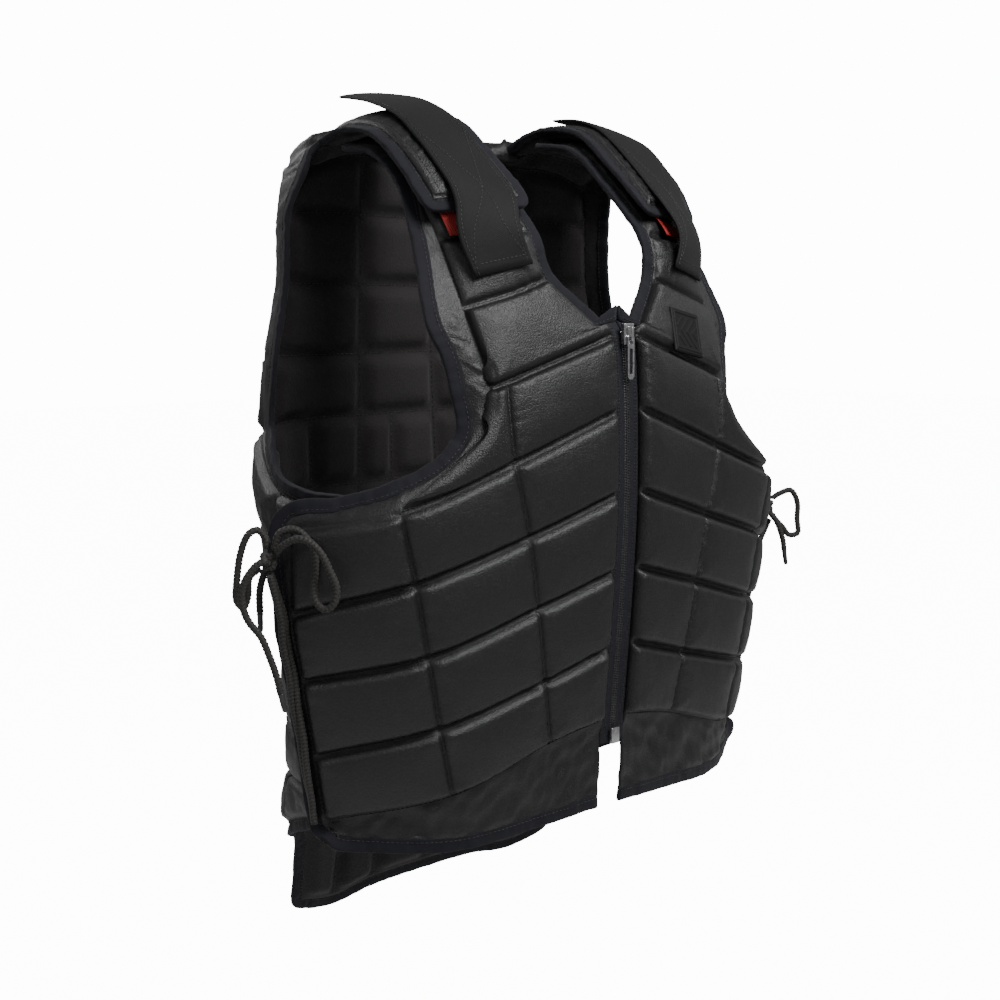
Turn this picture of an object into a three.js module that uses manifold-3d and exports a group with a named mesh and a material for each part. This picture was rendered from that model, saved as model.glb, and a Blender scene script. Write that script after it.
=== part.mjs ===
// Padded body protector for riding: a foam-block back, two foam-block fronts closed by a zip,
// shoulder flaps held by hook-and-loop straps, and a cord laced up each side.
// Millimetres. +X is the wearer's left, the chest faces -Y, +Z is up, and the origin is at the
// height where the shoulders carry it.
import * as THREE from "three";
import { mergeVertices } from "three/addons/utils/BufferGeometryUtils.js";
import Module from "manifold-3d";

const wasm = await Module();
wasm.setup();

// Body of the protector
const HALF_WIDTH = 230; // middle to the side of the chest
const DEPTH = 128; // shoulder line to the front of the chest
const LENGTH = 490; // shoulder seat to the front hem
const TAIL_DROP = 122; // how far the back hangs below the front hem

// Walls
const EDGE_WALL = 3; // two cloths and a thin foam at an edge
const SEAM_WALL = 5; // along a sewn groove
const PAD_OUT = 5.5; // how far a foam block stands proud of its grooves outside
const PAD_IN = 6.5; // and inside
const PAD_CROWN = 1.2; // extra swell in the middle of a block
const FLAP_WALL = 10; // shoulder flap
const TONGUE_WALL = 9; // front shoulder tongue under the flap
const SHOULDER_GAP = 3.5; // room between tongue and flap
const GAP = 0.3; // sewn pieces keep this apart

// Trims
const BINDING_WIDTH = 9;
const BINDING_WALL = 4.4;
const STRAP_WIDTH = 45;
const STRAP_WALL = 2.4;
const BAND_WIDTH = 52;
const BAND_WALL = 1.4;
const TIP_LIFTS = { right: 18, left: 8 }; // how far a strap's free end stands up from the flap

// Zip
const ZIP_HALF = 12; // middle to where the blocks start
const CHAIN_WIDTH = 5.4;
const CHAIN_WALL = 3.4;
const TAPE_WALL = 1.6;
const SLIDER_WIDTH = 9.6;
const SLIDER_LENGTH = 15;
const SLIDER_WALL = 4.2;
const BRIDGE_BAR = 1.6;
const BRIDGE_WIDTH = 2.4;
const BRIDGE_SPAN = 7;
const PULLER_WIDTH = 6.6;
const PULLER_LENGTH = 31;
const PULLER_WALL = 1.6;
const PULLER_HOLE = 4.2;
const PULLER_SLOT = 18;
const PULLER_SLOT_WIDTH = 3.2;
const PULLER_BRIDGE = 3;
const BOX_WIDTH = 8;
const BOX_LENGTH = 12;
const BOX_WALL = 3;

// Badge
const BADGE_SIDE = 34;
const BADGE_WALL = 1.2;

// Side laces
const LACE = 5.2;
const AGLET = 4.4;
const AGLET_LENGTH = 13;
const KNOT = 15;

const SIDES = [
  ["right", -1],
  ["left", 1],
];

// A point from shares in hundredths: of the half width, of the depth and of the length.
// A point on the zip's edge has no share across. Past the front hem the last share goes on in
// hundredths of the tail's drop.
function at([across, back, up]) {
  const x = across === null ? ZIP_HALF : (across / 100) * HALF_WIDTH;
  const z = up >= -100 ? (up / 100) * LENGTH : -LENGTH + ((up + 100) / 100) * TAIL_DROP;
  return new THREE.Vector3(x, (back / 100) * DEPTH, z);
}

// Saddle over the shoulder, from the neckline forward: its neck side and its arm side.
const SADDLE = [
  { inner: [26, 54, 3.5], outer: [63, 37, 0] },
  { inner: [26, 24, 5], outer: [62.5, 14, 1.5] },
  { inner: [26, -9, 3.5], outer: [61, -11, 0.5] },
  { inner: [25.5, -37, -2], outer: [60, -32, -3.5] },
  { inner: [25, -61, -7.5], outer: [58.5, -46, -8] },
  { inner: [25, -70, -10], outer: [57, -53, -11] },
];
const SADDLE_SHARES = [0, 0.25, 0.6, 1];

// Front, top to bottom: zip or neck edge, first upright seam, outer edge of the blocks, rim.
const FRONT_TOP = [
  {
    name: "pocket", inner: [24, -68, -13.5], upright: [40, -64, -14],
    outer: [53, -51, -15], rim: [60, -44, -13.5],
  },
  {
    name: "strap foot", inner: [21, -76, -20], upright: [37.5, -76, -22.5],
    outer: [52, -69, -24.5], rim: [64.5, -66, -25.5],
  },
  {
    name: "neck corner", inner: [null, -90, -26.5], upright: [42, -83, -30],
    outer: [50.5, -79, -30.5], rim: [61.5, -72, -30],
  },
  {
    name: "first", inner: [null, -95, -28.5], upright: [44.5, -87, -34.5],
    outer: [48, -85.5, -35], rim: [60, -75.5, -34.5],
  },
  {
    name: "bend", inner: [null, -97, -34], upright: [45, -90, -40],
    outer: [54.5, -87, -42], rim: [60, -79, -42],
  },
];

// Front below the arm: zip edge, two upright seams, side edge of the blocks, rim.
const FRONT_LOW = [
  {
    inner: [null, -98, -39], upright: [44, -91, -45.5], second: [79, -77.5, -51],
    side: [100, -36, -53.5], rim: [103.5, -29, -51.5],
  },
  {
    inner: [null, -98, -51], upright: [38.5, -91, -56], second: [74, -76.5, -61],
    side: [101.5, -37, -65], rim: [105.5, -31, -65],
  },
  {
    inner: [null, -95.5, -62.5], upright: [34.5, -89.5, -66.5], second: [69.5, -75.5, -71.5],
    side: [98, -35.5, -74.5], rim: [101.5, -28.5, -75],
  },
  {
    inner: [null, -91.5, -74], upright: [30.5, -86.5, -77.5], second: [65, -74, -82],
    side: [94, -34, -85.5], rim: [97.5, -26.5, -85.5],
  },
  {
    inner: [null, -87, -85.5], upright: [27, -83, -87.5], second: [60, -72, -92.5],
    side: [90, -32.5, -95.5], rim: [93.5, -24.5, -95.5],
  },
  {
    inner: [null, -83, -99.8], upright: [25, -81, -100], second: [58.5, -71, -100.6],
    side: [87, -39, -98.5], rim: [91.5, -29, -96],
  },
];
const FRONT_TOP_RIM = [76, -71, -47]; // rim over the second upright seam
const FRONT_ARM_RIM = [90.5, -49, -49.5]; // rim halfway along the side block

// Back, neckline to the level of the armpit: middle, half column, first seam, half column, edge, rim.
const BACK_TOP = [
  { columns: [[0, 68, 2.5]], rim: [65, 35, 0] },
  { columns: [[0, 72, 0], [21, 70, 0], [35, 64, 0], [50, 61, -0.5], [65, 59, -3]], rim: [67, 37, -4] },
  {
    columns: [[0, 79, -9], [18, 76, -9], [35, 69, -9], [52, 67.5, -9], [67.5, 64, -9.5]],
    rim: [70.5, 45.5, -10],
  },
  {
    columns: [[0, 82, -20], [18, 79, -20], [35, 71, -20], [53.5, 68.5, -20], [68.5, 65, -20]],
    rim: [71.5, 47, -20],
  },
  {
    columns: [[0, 83, -31], [18.5, 80.5, -31], [35, 73.5, -31], [55.5, 71, -31], [73.5, 64.5, -31]],
    rim: [76, 47, -31],
  },
];

// Back below the armpit: middle, four seams, the side, and the end that lies under the front.
const BACK_LOW = [
  {
    columns: [
      [0, 82, -41], [19.5, 80, -41], [35, 75, -41], [56, 72, -41],
      [75.5, 62, -42.5], [88, 8, -50], [83, -48, -52],
    ],
  },
  {
    columns: [
      [0, 79, -52], [20.5, 77.5, -52], [36.5, 73.5, -52], [58.5, 66, -52],
      [78, 50, -53.5], [90, 0, -58], [83.5, -50, -59.5],
    ],
  },
  {
    columns: [
      [0, 73.5, -63], [21, 72, -63], [37.5, 67, -63], [59, 56, -63],
      [77, 37.5, -64], [88.5, -3, -67.5], [81.5, -50, -68.5],
    ],
  },
  {
    columns: [
      [0, 69, -74], [21.5, 67, -74], [38.5, 63, -74], [60, 53, -74],
      [76, 36, -74.5], [85.5, -4, -77], [78.5, -45, -77.5],
    ],
  },
  {
    columns: [
      [0, 70, -84.5], [22, 69, -84.5], [39, 65.5, -84.5], [61, 55.5, -84.5],
      [75, 37.5, -85], [82.5, -3, -86.5], [75.5, -42, -87],
    ],
  },
  {
    columns: [
      [0, 81, -95.5], [22.5, 80, -95.5], [40.5, 76, -95.5], [62, 62.5, -95.5],
      [74, 42, -95], [80, -2, -94.5], [72.5, -38, -94.5],
    ],
  },
  {
    columns: [
      [0, 92, -133], [23.5, 91.5, -133], [41.5, 87.5, -133], [64, 76, -135],
      [74, 49, -120], [78, 2, -101.5], [71, -36, -97.5],
    ],
  },
];
const TAIL_END = { columns: [[0, 101, -198], [24, 101, -199], [42.5, 100, -203], [61, 94, -194]] };
const BACK_ARM_RIMS = [[78, 49, -41.5], [85, 27, -45.5], [89, 4, -48], [88, -22, -49.5], [83.5, -49, -50]];

// A smooth curve through a list of points, at t from 0 to the last index.
function along(points, t) {
  const last = points.length - 1;
  const i = Math.min(Math.max(Math.floor(t), 0), last - 1);
  const f = t - i;
  if (f < 1e-9) return points[i].clone();
  if (f > 1 - 1e-9) return points[i + 1].clone();
  const a = points[i];
  const b = points[i + 1];
  const before = i > 0 ? points[i - 1] : a.clone().multiplyScalar(2).sub(b);
  const after = i + 2 <= last ? points[i + 2] : b.clone().multiplyScalar(2).sub(a);
  const out = new THREE.Vector3();
  for (const k of ["x", "y", "z"]) {
    const slopeA = (b[k] - before[k]) / 2;
    const slopeB = (after[k] - a[k]) / 2;
    const rise = b[k] - a[k];
    const square = 3 * rise - 2 * slopeA - slopeB;
    const cube = slopeA + slopeB - 2 * rise;
    out[k] = a[k] + f * (slopeA + f * (square + f * cube));
  }
  return out;
}

// A smooth surface through rows of points: v counts rows, u counts points of a row.
function surface(rows) {
  return (u, v) => {
    const last = rows.length - 1;
    const i = Math.min(Math.max(Math.floor(v), 0), last - 1);
    if (v - i < 1e-9) return along(rows[i], u);
    if (v - i > 1 - 1e-9) return along(rows[i + 1], u);
    const from = Math.max(i - 1, 0);
    const near = rows.slice(from, Math.min(i + 3, last + 1)).map((row) => along(row, u));
    return along(near, v - from);
  };
}

// A padded shell under construction: corners of its middle surface with two half walls each.
class Shell {
  constructor() {
    this.corners = [];
    this.faces = [];
    this.index = new Map();
  }
  corner(point, out, inn) {
    const key = [point.x, point.y, point.z].map((c) => Math.round(c * 200)).join(" ");
    if (!this.index.has(key)) {
      this.index.set(key, this.corners.length);
      this.corners.push({ point: point.clone(), out, inn, normal: new THREE.Vector3() });
    }
    const found = this.corners[this.index.get(key)];
    found.out = Math.min(found.out, out);
    found.inn = Math.min(found.inn, inn);
    return this.index.get(key);
  }
  // Four corners, counter-clockwise seen from outside; corners that coincide make a triangle.
  face(a, b, c, d) {
    const ring = [a, b, c, d].filter((value, i, all) => value !== all[(i + 1) % 4]);
    if (ring.length > 2) this.faces.push(ring);
  }
  // A patch over the lines us and vs; place gives a point, wall gives the two half walls.
  patch(us, vs, place, wall, flip) {
    const grid = vs.map((v) => us.map((u) => this.corner(place(u, v), ...wall(u, v))));
    for (let j = 0; j + 1 < vs.length; j += 1)
      for (let i = 0; i + 1 < us.length; i += 1) {
        const ring = [grid[j][i], grid[j + 1][i], grid[j + 1][i + 1], grid[j][i + 1]];
        if (flip) ring.reverse();
        this.face(...ring);
      }
  }
  triangles() {
    const list = [];
    for (const ring of this.faces) {
      list.push([ring[0], ring[1], ring[2]]);
      if (ring.length > 3) list.push([ring[0], ring[2], ring[3]]);
    }
    return list;
  }
  settle() {
    const ab = new THREE.Vector3();
    const ac = new THREE.Vector3();
    for (const corner of this.corners) corner.normal.set(0, 0, 0);
    for (const [a, b, c] of this.triangles()) {
      ab.subVectors(this.corners[b].point, this.corners[a].point);
      ac.subVectors(this.corners[c].point, this.corners[a].point);
      ab.cross(ac);
      for (const i of [a, b, c]) this.corners[i].normal.add(ab);
    }
    for (const { point, normal } of this.corners) {
      if (Math.abs(point.x - ZIP_HALF) < 1e-6) normal.x = 0;
      normal.normalize();
    }
  }
  // The closed solid: outer skin, inner skin and the edge wall between them.
  geometry() {
    this.settle();
    const count = this.corners.length;
    const positions = [];
    for (const side of [1, -1])
      for (const { point, normal, out, inn } of this.corners)
        positions.push(...point.clone().addScaledVector(normal, side > 0 ? out : -inn).toArray());
    const index = [];
    const open = new Map();
    for (const [a, b, c] of this.triangles()) {
      index.push(a, b, c, a + count, c + count, b + count);
      for (const [p, q] of [[a, b], [b, c], [c, a]]) {
        if (open.has(`${q} ${p}`)) open.delete(`${q} ${p}`);
        else open.set(`${p} ${q}`, [p, q]);
      }
    }
    for (const [p, q] of open.values()) index.push(p, p + count, q, q, p + count, q + count);
    const made = new THREE.BufferGeometry();
    made.setAttribute("position", new THREE.Float32BufferAttribute(positions, 3));
    made.setIndex(index);
    return made;
  }
  // The corner that sits at a point.
  find(point) {
    const key = [point.x, point.y, point.z].map((c) => Math.round(c * 200)).join(" ");
    return this.corners[this.index.get(key)];
  }
}

const RECTANGLE = [[-1, -1], [1, -1], [1, 1], [-1, 1]];
const OBLONG = [[-0.6, -1], [0.6, -1], [1, -0.5], [1, 0.5], [0.6, 1], [-0.6, 1], [-1, 0.5], [-1, -0.5]];

// A bar along stations { point, wide, thick, half, wall }: wide and thick are the section's unit
// directions. A closed bar joins its last station to its first.
function bar(stations, closed = false, section = RECTANGLE) {
  const positions = [];
  const index = [];
  const sides = section.length;
  for (const { point, wide, thick, half, wall } of stations)
    for (const [i, j] of section)
      positions.push(
        ...point.clone().addScaledVector(wide, i * half).addScaledVector(thick, (j * wall) / 2).toArray(),
      );
  const rings = stations.length;
  const steps = closed ? rings : rings - 1;
  for (let s = 0; s < steps; s += 1)
    for (let k = 0; k < sides; k += 1) {
      const a = s * sides + k;
      const b = s * sides + ((k + 1) % sides);
      const c = ((s + 1) % rings) * sides + ((k + 1) % sides);
      const d = ((s + 1) % rings) * sides + k;
      index.push(a, b, c, a, c, d);
    }
  if (!closed) {
    const e = (rings - 1) * sides;
    for (let k = 1; k + 1 < sides; k += 1) index.push(0, k + 1, k, e, e + k, e + k + 1);
  }
  const made = new THREE.BufferGeometry();
  made.setAttribute("position", new THREE.Float32BufferAttribute(positions, 3));
  made.setIndex(index);
  return outward(made);
}

function volumeOf(geometry) {
  const p = geometry.getAttribute("position");
  const i = geometry.index;
  const [a, b, c] = [new THREE.Vector3(), new THREE.Vector3(), new THREE.Vector3()];
  let sum = 0;
  for (let t = 0; t < i.count; t += 3) {
    a.fromBufferAttribute(p, i.getX(t));
    b.fromBufferAttribute(p, i.getX(t + 1));
    c.fromBufferAttribute(p, i.getX(t + 2));
    sum += a.dot(b.cross(c)) / 6;
  }
  return sum;
}

// Turns a closed solid's faces outwards.
function outward(geometry) {
  if (volumeOf(geometry) < 0) {
    const i = geometry.index;
    for (let t = 0; t < i.count; t += 3) {
      const b = i.getX(t + 1);
      i.setX(t + 1, i.getX(t + 2));
      i.setX(t + 2, b);
    }
  }
  return geometry;
}

// Stations along a chain of rim corners of a shell, half a binding out from the rim.
function rimStations(shell, chain, closed) {
  const corners = chain.map((point) => shell.find(point)).filter((c, i, all) => c !== all[i - 1]);
  const n = corners.length;
  return corners.map((corner, i) => {
    const before = corners[closed ? (i + n - 1) % n : Math.max(i - 1, 0)];
    const after = corners[closed ? (i + 1) % n : Math.min(i + 1, n - 1)];
    const sides = [];
    for (const [p, q] of [[before, corner], [corner, after]]) {
      if (p === q) continue;
      const run = q.point.clone().sub(p.point);
      sides.push(corner.normal.clone().cross(run).normalize());
    }
    const wide = sides[0].clone().add(sides[sides.length - 1]).normalize();
    const mitre = 1 / Math.max(wide.dot(sides[0]), 0.6);
    const reach = (GAP + BINDING_WIDTH / 2) * mitre;
    return {
      point: corner.point.clone().addScaledVector(wide, reach),
      wide,
      thick: corner.normal.clone(),
      half: (BINDING_WIDTH / 2) * mitre,
      wall: BINDING_WALL,
    };
  });
}

// A binding tape along a rim, mitred at the bends.
function binding(shell, chain, closed = false) {
  return bar(rimStations(shell, chain, closed), closed);
}

function mirrored(geometry, sign) {
  return sign > 0 ? geometry.clone() : outward(geometry.clone().scale(-1, 1, 1));
}

// Saddle surface: u 1 to 4 across from the neck side, v 0 to 5 forward.
const saddleRows = SADDLE.map(({ inner, outer }) => {
  const [a, b] = [at(inner), at(outer)];
  return SADDLE_SHARES.map((share) => {
    const point = a.clone().lerp(b, share);
    point.z += Math.sin(Math.PI * share) * PAD_CROWN * 2;
    return point;
  });
});
const saddle = surface(saddleRows);
function saddleOffset(u, v, distance) {
  const step = 0.05;
  const across = saddle(Math.min(u + step, 3), v).sub(saddle(u - step, v));
  const forward = saddle(u, Math.min(v + step, 5)).sub(saddle(u, Math.max(v - step, 0)));
  return saddle(u, v).addScaledVector(forward.cross(across).normalize(), distance);
}

// Rows of the front above the arm: three of the tongue under the flap, then the table's.
const TONGUE_ROWS = [1.0, 2.1, 3.2];
const TONGUE_DROP = FLAP_WALL / 2 + SHOULDER_GAP + TONGUE_WALL / 2;
const frontTopRows = [
  ...TONGUE_ROWS.map((v) => [0, 1.6, 2.72].map((u) => saddleOffset(u, v, -TONGUE_DROP))),
  ...FRONT_TOP.map(({ inner, upright, outer }) => [at(inner), at(upright), at(outer)]),
  Object.values(FRONT_LOW[0]).slice(0, 4).map(at),
];
const frontTopRims = [
  ...TONGUE_ROWS.map((v) => saddleOffset(3, v, -TONGUE_DROP)),
  ...FRONT_TOP.map(({ rim }) => at(rim)),
  at(FRONT_TOP_RIM),
  at(FRONT_ARM_RIM),
  ...FRONT_LOW.map(({ rim }) => at(rim)),
];
const frontTop = surface(frontTopRows);
const frontLow = surface(FRONT_LOW.map((row) => Object.values(row).slice(0, 4).map(at)));
const POCKET_ROW = 3;
const FOOT_ROW = 4;
const CORNER_ROW = 5;
const FIRST_ROW = 6;
const TOP_LAST = 8;
const LOW_LAST = 5;
const SKIRT_ROW = 4;

const INSET = BINDING_WIDTH + GAP;
const NECK_INSET = INSET / (0.32 * HALF_WIDTH);
const HEM_INSET = INSET / (0.13 * LENGTH);
const ROUND_U = 0.1; // share of a column that a block's rounded side takes
const ROUND_V = 0.16; // and of a row

// Half walls of a foam block, where full says that the corner is away from every groove.
function blockWall(full, crown = 0) {
  const pad = full ? 1 : 0;
  return [SEAM_WALL / 2 + pad * (PAD_OUT + crown), SEAM_WALL / 2 + pad * (PAD_IN + crown)];
}

function makeFront() {
  const shell = new Shell();
  const topU = [0, ROUND_U, 0.5, 1 - ROUND_U, 1, 1 + ROUND_U, 1.5, 2 - ROUND_U, 2];
  const topV = [0, 0.3, 1, 2, 2.7, 3, 3.25, 3.75, 4, 4.3, 5, 5.5, 6, 6.35, 7, 7.65, 8];
  const lowU = [0, 1, 2].flatMap((k) => [k, k + ROUND_U, k + 0.5, k + 1 - ROUND_U]).concat(3);
  const lowV = [0, 1, 2, 3].flatMap((k) => [k, k + ROUND_V, k + 1 - ROUND_V]).concat(4, 4.5, 5);
  const placeTop = (u, v) => {
    const inset = NECK_INSET * THREE.MathUtils.clamp((CORNER_ROW + 0.5 - v) / 0.5, 0, 1);
    const point = frontTop(u + inset * (1 - u / 2), v);
    point.x = Math.max(point.x, ZIP_HALF);
    return point;
  };
  const placeLow = (u, v) => frontLow(u, v === LOW_LAST ? v - HEM_INSET : v);
  const topGrooves = [0, POCKET_ROW, FOOT_ROW, FIRST_ROW, TOP_LAST];
  const wallTop = (u, v) => {
    if (v <= POCKET_ROW) {
      const full = u > 0 && u < 2 && v > 0 && v < POCKET_ROW;
      return full ? [TONGUE_WALL / 2, TONGUE_WALL / 2] : [SEAM_WALL / 2, SEAM_WALL / 2];
    }
    const seam = u === 0 || u === 2 || topGrooves.includes(v) || (u === 1 && v > FIRST_ROW);
    const low = v < FOOT_ROW ? 0.45 : 1;
    const [out, inn] = blockWall(!seam, u === 0.5 ? PAD_CROWN : 0);
    return [SEAM_WALL / 2 + (out - SEAM_WALL / 2) * low, inn];
  };
  const wallLow = (u, v) => {
    if (v > SKIRT_ROW) return [EDGE_WALL / 2, EDGE_WALL / 2];
    const seam = Number.isInteger(u) || Number.isInteger(v);
    return blockWall(!seam, u % 1 === 0.5 ? PAD_CROWN : 0);
  };
  shell.patch(topU, topV, placeTop, wallTop, false);
  shell.patch(lowU, lowV, placeLow, wallLow, false);

  // The unpadded strip between the blocks and the rim, down the arm and the side.
  const inner = [
    ...topV.map((v) => ({ point: placeTop(2, v), s: v })),
    ...lowU.filter((u) => u > 2).map((u) => ({ point: placeLow(u, 0), s: TOP_LAST + (u - 2) * 2 })),
    ...lowV.filter((v) => v > 0).map((v) => ({ point: placeLow(3, v), s: TOP_LAST + 2 + v })),
  ];
  const rims = inner.map(({ point, s }) => {
    const rim = along(frontTopRims, s);
    const corner = s === TOP_LAST + 2 + LOW_LAST;
    return point.clone().lerp(rim, corner ? 0 : Math.max(1 - INSET / rim.distanceTo(point), 0.12));
  });
  const walls = [EDGE_WALL / 2, EDGE_WALL / 2];
  for (let i = 0; i + 1 < inner.length; i += 1) {
    const ring = [inner[i].point, inner[i + 1].point, rims[i + 1], rims[i]];
    const ids = ring.map((p, k) => shell.corner(p, ...(k < 2 ? [SEAM_WALL / 2, SEAM_WALL / 2] : walls)));
    shell.face(...ids);
  }
  const geometry = shell.geometry();
  const neckV = topV.filter((v) => v <= CORNER_ROW).reverse();
  const chain = [
    ...neckV.map((v) => placeTop(0, v)),
    ...topU.map((u) => placeTop(u, 0)),
    ...rims,
    ...[...lowU].reverse().map((u) => placeLow(u, LOW_LAST)),
  ];
  const sideFrom = inner.findIndex(({ s }) => s > TOP_LAST + 2.9);
  const sideTo = inner.findIndex(({ s }) => s > TOP_LAST + 2 + SKIRT_ROW);
  return { shell, geometry, chain, sideRims: rims.slice(sideFrom, sideTo) };
}

const front = makeFront();

// Rows of the back. The neckline row takes the saddle's own points.
const backLowRows = BACK_LOW.map(({ columns }) => columns.map(at));
const backTop = surface([
  ...BACK_TOP.map(({ columns }, i) => (i === 0 ? [at(columns[0]), ...saddleRows[0]] : columns.map(at))),
  backLowRows[0],
]);
const backLow = surface(backLowRows);
const tail = surface([backLowRows[6].slice(0, 4), TAIL_END.columns.map(at)]);
const backTopRims = [...BACK_TOP.map(({ rim }) => at(rim)), ...BACK_ARM_RIMS.map(at)];
const FLAP_SHARE = INSET / (0.1 * HALF_WIDTH); // the binding's share of the flap's inner column
const FLAP_END = INSET / (0.04 * LENGTH);
const BACK_TOP_LAST = 5;
const BACK_LOW_LAST = 6;
const TAIL_SIDE = 3;

// The binding's share of a step between two places.
function share(from, to) {
  return INSET / from.distanceTo(to);
}

function makeBack() {
  const shell = new Shell();
  const threes = (k) => [k, k + ROUND_U, k + 1 - ROUND_U];
  const lowU = [...[0, 1, 2, 3, 4].flatMap(threes), 5, 6];
  const lowV = [0, 1, 2, 3, 4, 5].flatMap((k) => [k, k + ROUND_V, k + 1 - ROUND_V]).concat(BACK_LOW_LAST);
  const topU = lowU.filter((u) => u <= 4);
  const topV = [0].concat([1, 2, 3, 4].flatMap((k) => [k, k + ROUND_V, k + 1 - ROUND_V]), BACK_TOP_LAST);
  const flapU = topU.filter((u) => u >= 1);
  const flapV = [0, 0.3, 1.3, 2.3, 3.3, 4.2, 5];
  const tailU = lowU.filter((u) => u <= TAIL_SIDE);
  const tailV = [0, ROUND_V, 0.5, 1 - ROUND_V, 1];

  // Places on the middle surface, drawn in from each rim by the width of the binding.
  const flapColumn = (u) => u + (u < 2 ? FLAP_SHARE * (2 - u) : 0) - (u > 3 ? FLAP_SHARE * 0.6 * (u - 3) : 0);
  const placeTop = (u, v) => {
    if (v > 0) return backTop(u, v);
    const drop = 0.7 * THREE.MathUtils.clamp(2 - u, 0, 1);
    return backTop(u < 1 ? u * flapColumn(1) : flapColumn(u), drop);
  };
  const placeFlap = (u, v) => {
    if (v === 0) return placeTop(u, 0);
    return saddle(flapColumn(u) - 1, v === 5 ? v - FLAP_END : v);
  };
  const placeLow = (u, v) => {
    const end = share(backLow(5, v), backLow(6, v));
    const hem = share(backLow(u, 5), backLow(u, 6)) * THREE.MathUtils.clamp(u - 2, 0, 1);
    return backLow(u > 5 ? u - end : u, v - hem * Math.max(v - 5, 0));
  };
  const placeTail = (u, v) => {
    if (v === 0) return placeLow(u, BACK_LOW_LAST);
    const side = share(tail(2, v), tail(3, v)) * Math.max(u - 2, 0);
    return tail(u - side, v - v * share(tail(u, 0), tail(u, 1)));
  };
  const flapWall = (u, v) => {
    const full = u > 1 && u < 4 && v > 0 && v < 5;
    return full ? [FLAP_WALL / 2, FLAP_WALL / 2] : [SEAM_WALL / 2, SEAM_WALL / 2];
  };
  const topWall = (u, v) => blockWall(u !== 0 && u !== 2 && u !== 4 && !Number.isInteger(v));
  const lowWall = (u, v) => blockWall(!Number.isInteger(u) && !Number.isInteger(v));
  const tailWall = (u, v) => blockWall(!Number.isInteger(u) && !Number.isInteger(v));

  const halves = [1, -1].map((sign) => {
    const turned = (place) => (u, v) => place(u, v).multiply(new THREE.Vector3(sign, 1, 1));
    shell.patch(flapU, flapV, turned(placeFlap), flapWall, sign < 0);
    shell.patch(topU, topV, turned(placeTop), topWall, sign > 0);
    shell.patch(lowU, lowV, turned(placeLow), lowWall, sign > 0);
    shell.patch(tailU, tailV, turned(placeTail), tailWall, sign > 0);

    // The unpadded strip between the blocks and the armhole's rim.
    const inner = [
      ...topV.map((v) => ({ point: placeTop(4, v), s: v })),
      ...lowU.filter((u) => u > 4).map((u) => ({ point: placeLow(u, 0), s: BACK_TOP_LAST + (u - 4) * 2 })),
    ];
    const rims = inner.map(({ point, s }) => {
      const rim = along(backTopRims, s);
      const reach = rim.distanceTo(point);
      return s === 0 ? point.clone() : point.clone().lerp(rim, Math.max(1 - INSET / reach, 0.12));
    });
    for (let i = 0; i + 1 < inner.length; i += 1) {
      const ring = [inner[i].point, inner[i + 1].point, rims[i + 1], rims[i]];
      const ids = ring.map((p, k) => {
        const wall = k < 2 ? SEAM_WALL / 2 : EDGE_WALL / 2;
        return shell.corner(p.clone().multiply(new THREE.Vector3(sign, 1, 1)), wall, wall);
      });
      if (sign > 0) ids.reverse();
      shell.face(...ids);
    }
    const lowDown = [...lowU].reverse();
    const half = [
      ...topU.filter((u) => u <= 1).map((u) => placeTop(u, 0)),
      ...flapV.filter((v) => v > 0).map((v) => placeFlap(1, v)),
      ...flapU.map((u) => placeFlap(u, 5)),
      ...[...flapV].reverse().map((v) => placeFlap(4, v)),
      ...rims,
      ...lowV.map((v) => placeLow(6, v)),
      ...lowDown.filter((u) => u >= TAIL_SIDE).map((u) => placeLow(u, BACK_LOW_LAST)),
      ...tailV.map((v) => placeTail(TAIL_SIDE, v)),
      ...[...tailU].reverse().map((u) => placeTail(u, 1)),
    ];
    return half.map((point) => point.clone().multiply(new THREE.Vector3(sign, 1, 1)));
  });
  const chain = [...halves[1], ...halves[0].reverse()];
  return { shell, geometry: shell.geometry(), chain };
}

const back = makeBack();

// A place off a surface by a distance, with the unit directions across it and out of it.
function off(place, u, v, distance) {
  const step = 0.02;
  const across = place(u + step, v).sub(place(u - step, v)).normalize();
  const down = place(u, v + step).sub(place(u, v - step));
  const out = down.cross(across).normalize();
  return { point: place(u, v).addScaledVector(out, distance), wide: across, thick: out };
}

// Hook-and-loop strap over a flap: free end raised behind, sewn end on the chest.
const STRAP_PATH = [
  { column: 1.44, row: 0.45, lift: 1 },
  { column: 1.42, row: 0.8, lift: 0.66 },
  { column: 1.4, row: 1.2, lift: 0.42 },
  { column: 1.38, row: 1.7, lift: 0.22 },
  { column: 1.35, row: 2.3, lift: 0.14 },
  { column: 1.32, row: 2.9, lift: 0.09 },
  { column: 1.28, row: 3.5, lift: 0.05 },
  { column: 1.24, row: 4.2, lift: 0.04 },
  { column: 1.2, row: 4.9, lift: 0.06 },
];
const STRAP_FOOT = [
  { column: 0.98, row: 3.04, rise: 3.6 },
  { column: 0.98, row: 3.3, rise: 1.4 },
  { column: 0.98, row: 3.62, rise: 0.5 },
];
const TIP_ROWS = { right: 0.45, left: 0.8 }; // where its free end stops
function strap(side) {
  const over = FLAP_WALL / 2 + GAP + STRAP_WALL / 2;
  const chest = (SEAM_WALL + PAD_OUT + PAD_CROWN) / 2 + GAP + STRAP_WALL / 2;
  const stations = [
    ...STRAP_PATH.filter(({ row }) => row >= TIP_ROWS[side]).map(({ column, row, lift }) =>
      off(saddle, column, row, over + lift * TIP_LIFTS[side]),
    ),
    ...STRAP_FOOT.map(({ column, row, rise }) => off(frontTop, column, row, chest + rise)),
  ];
  return bar(stations.map((station) => ({ ...station, half: STRAP_WIDTH / 2, wall: STRAP_WALL })));
}

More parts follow.
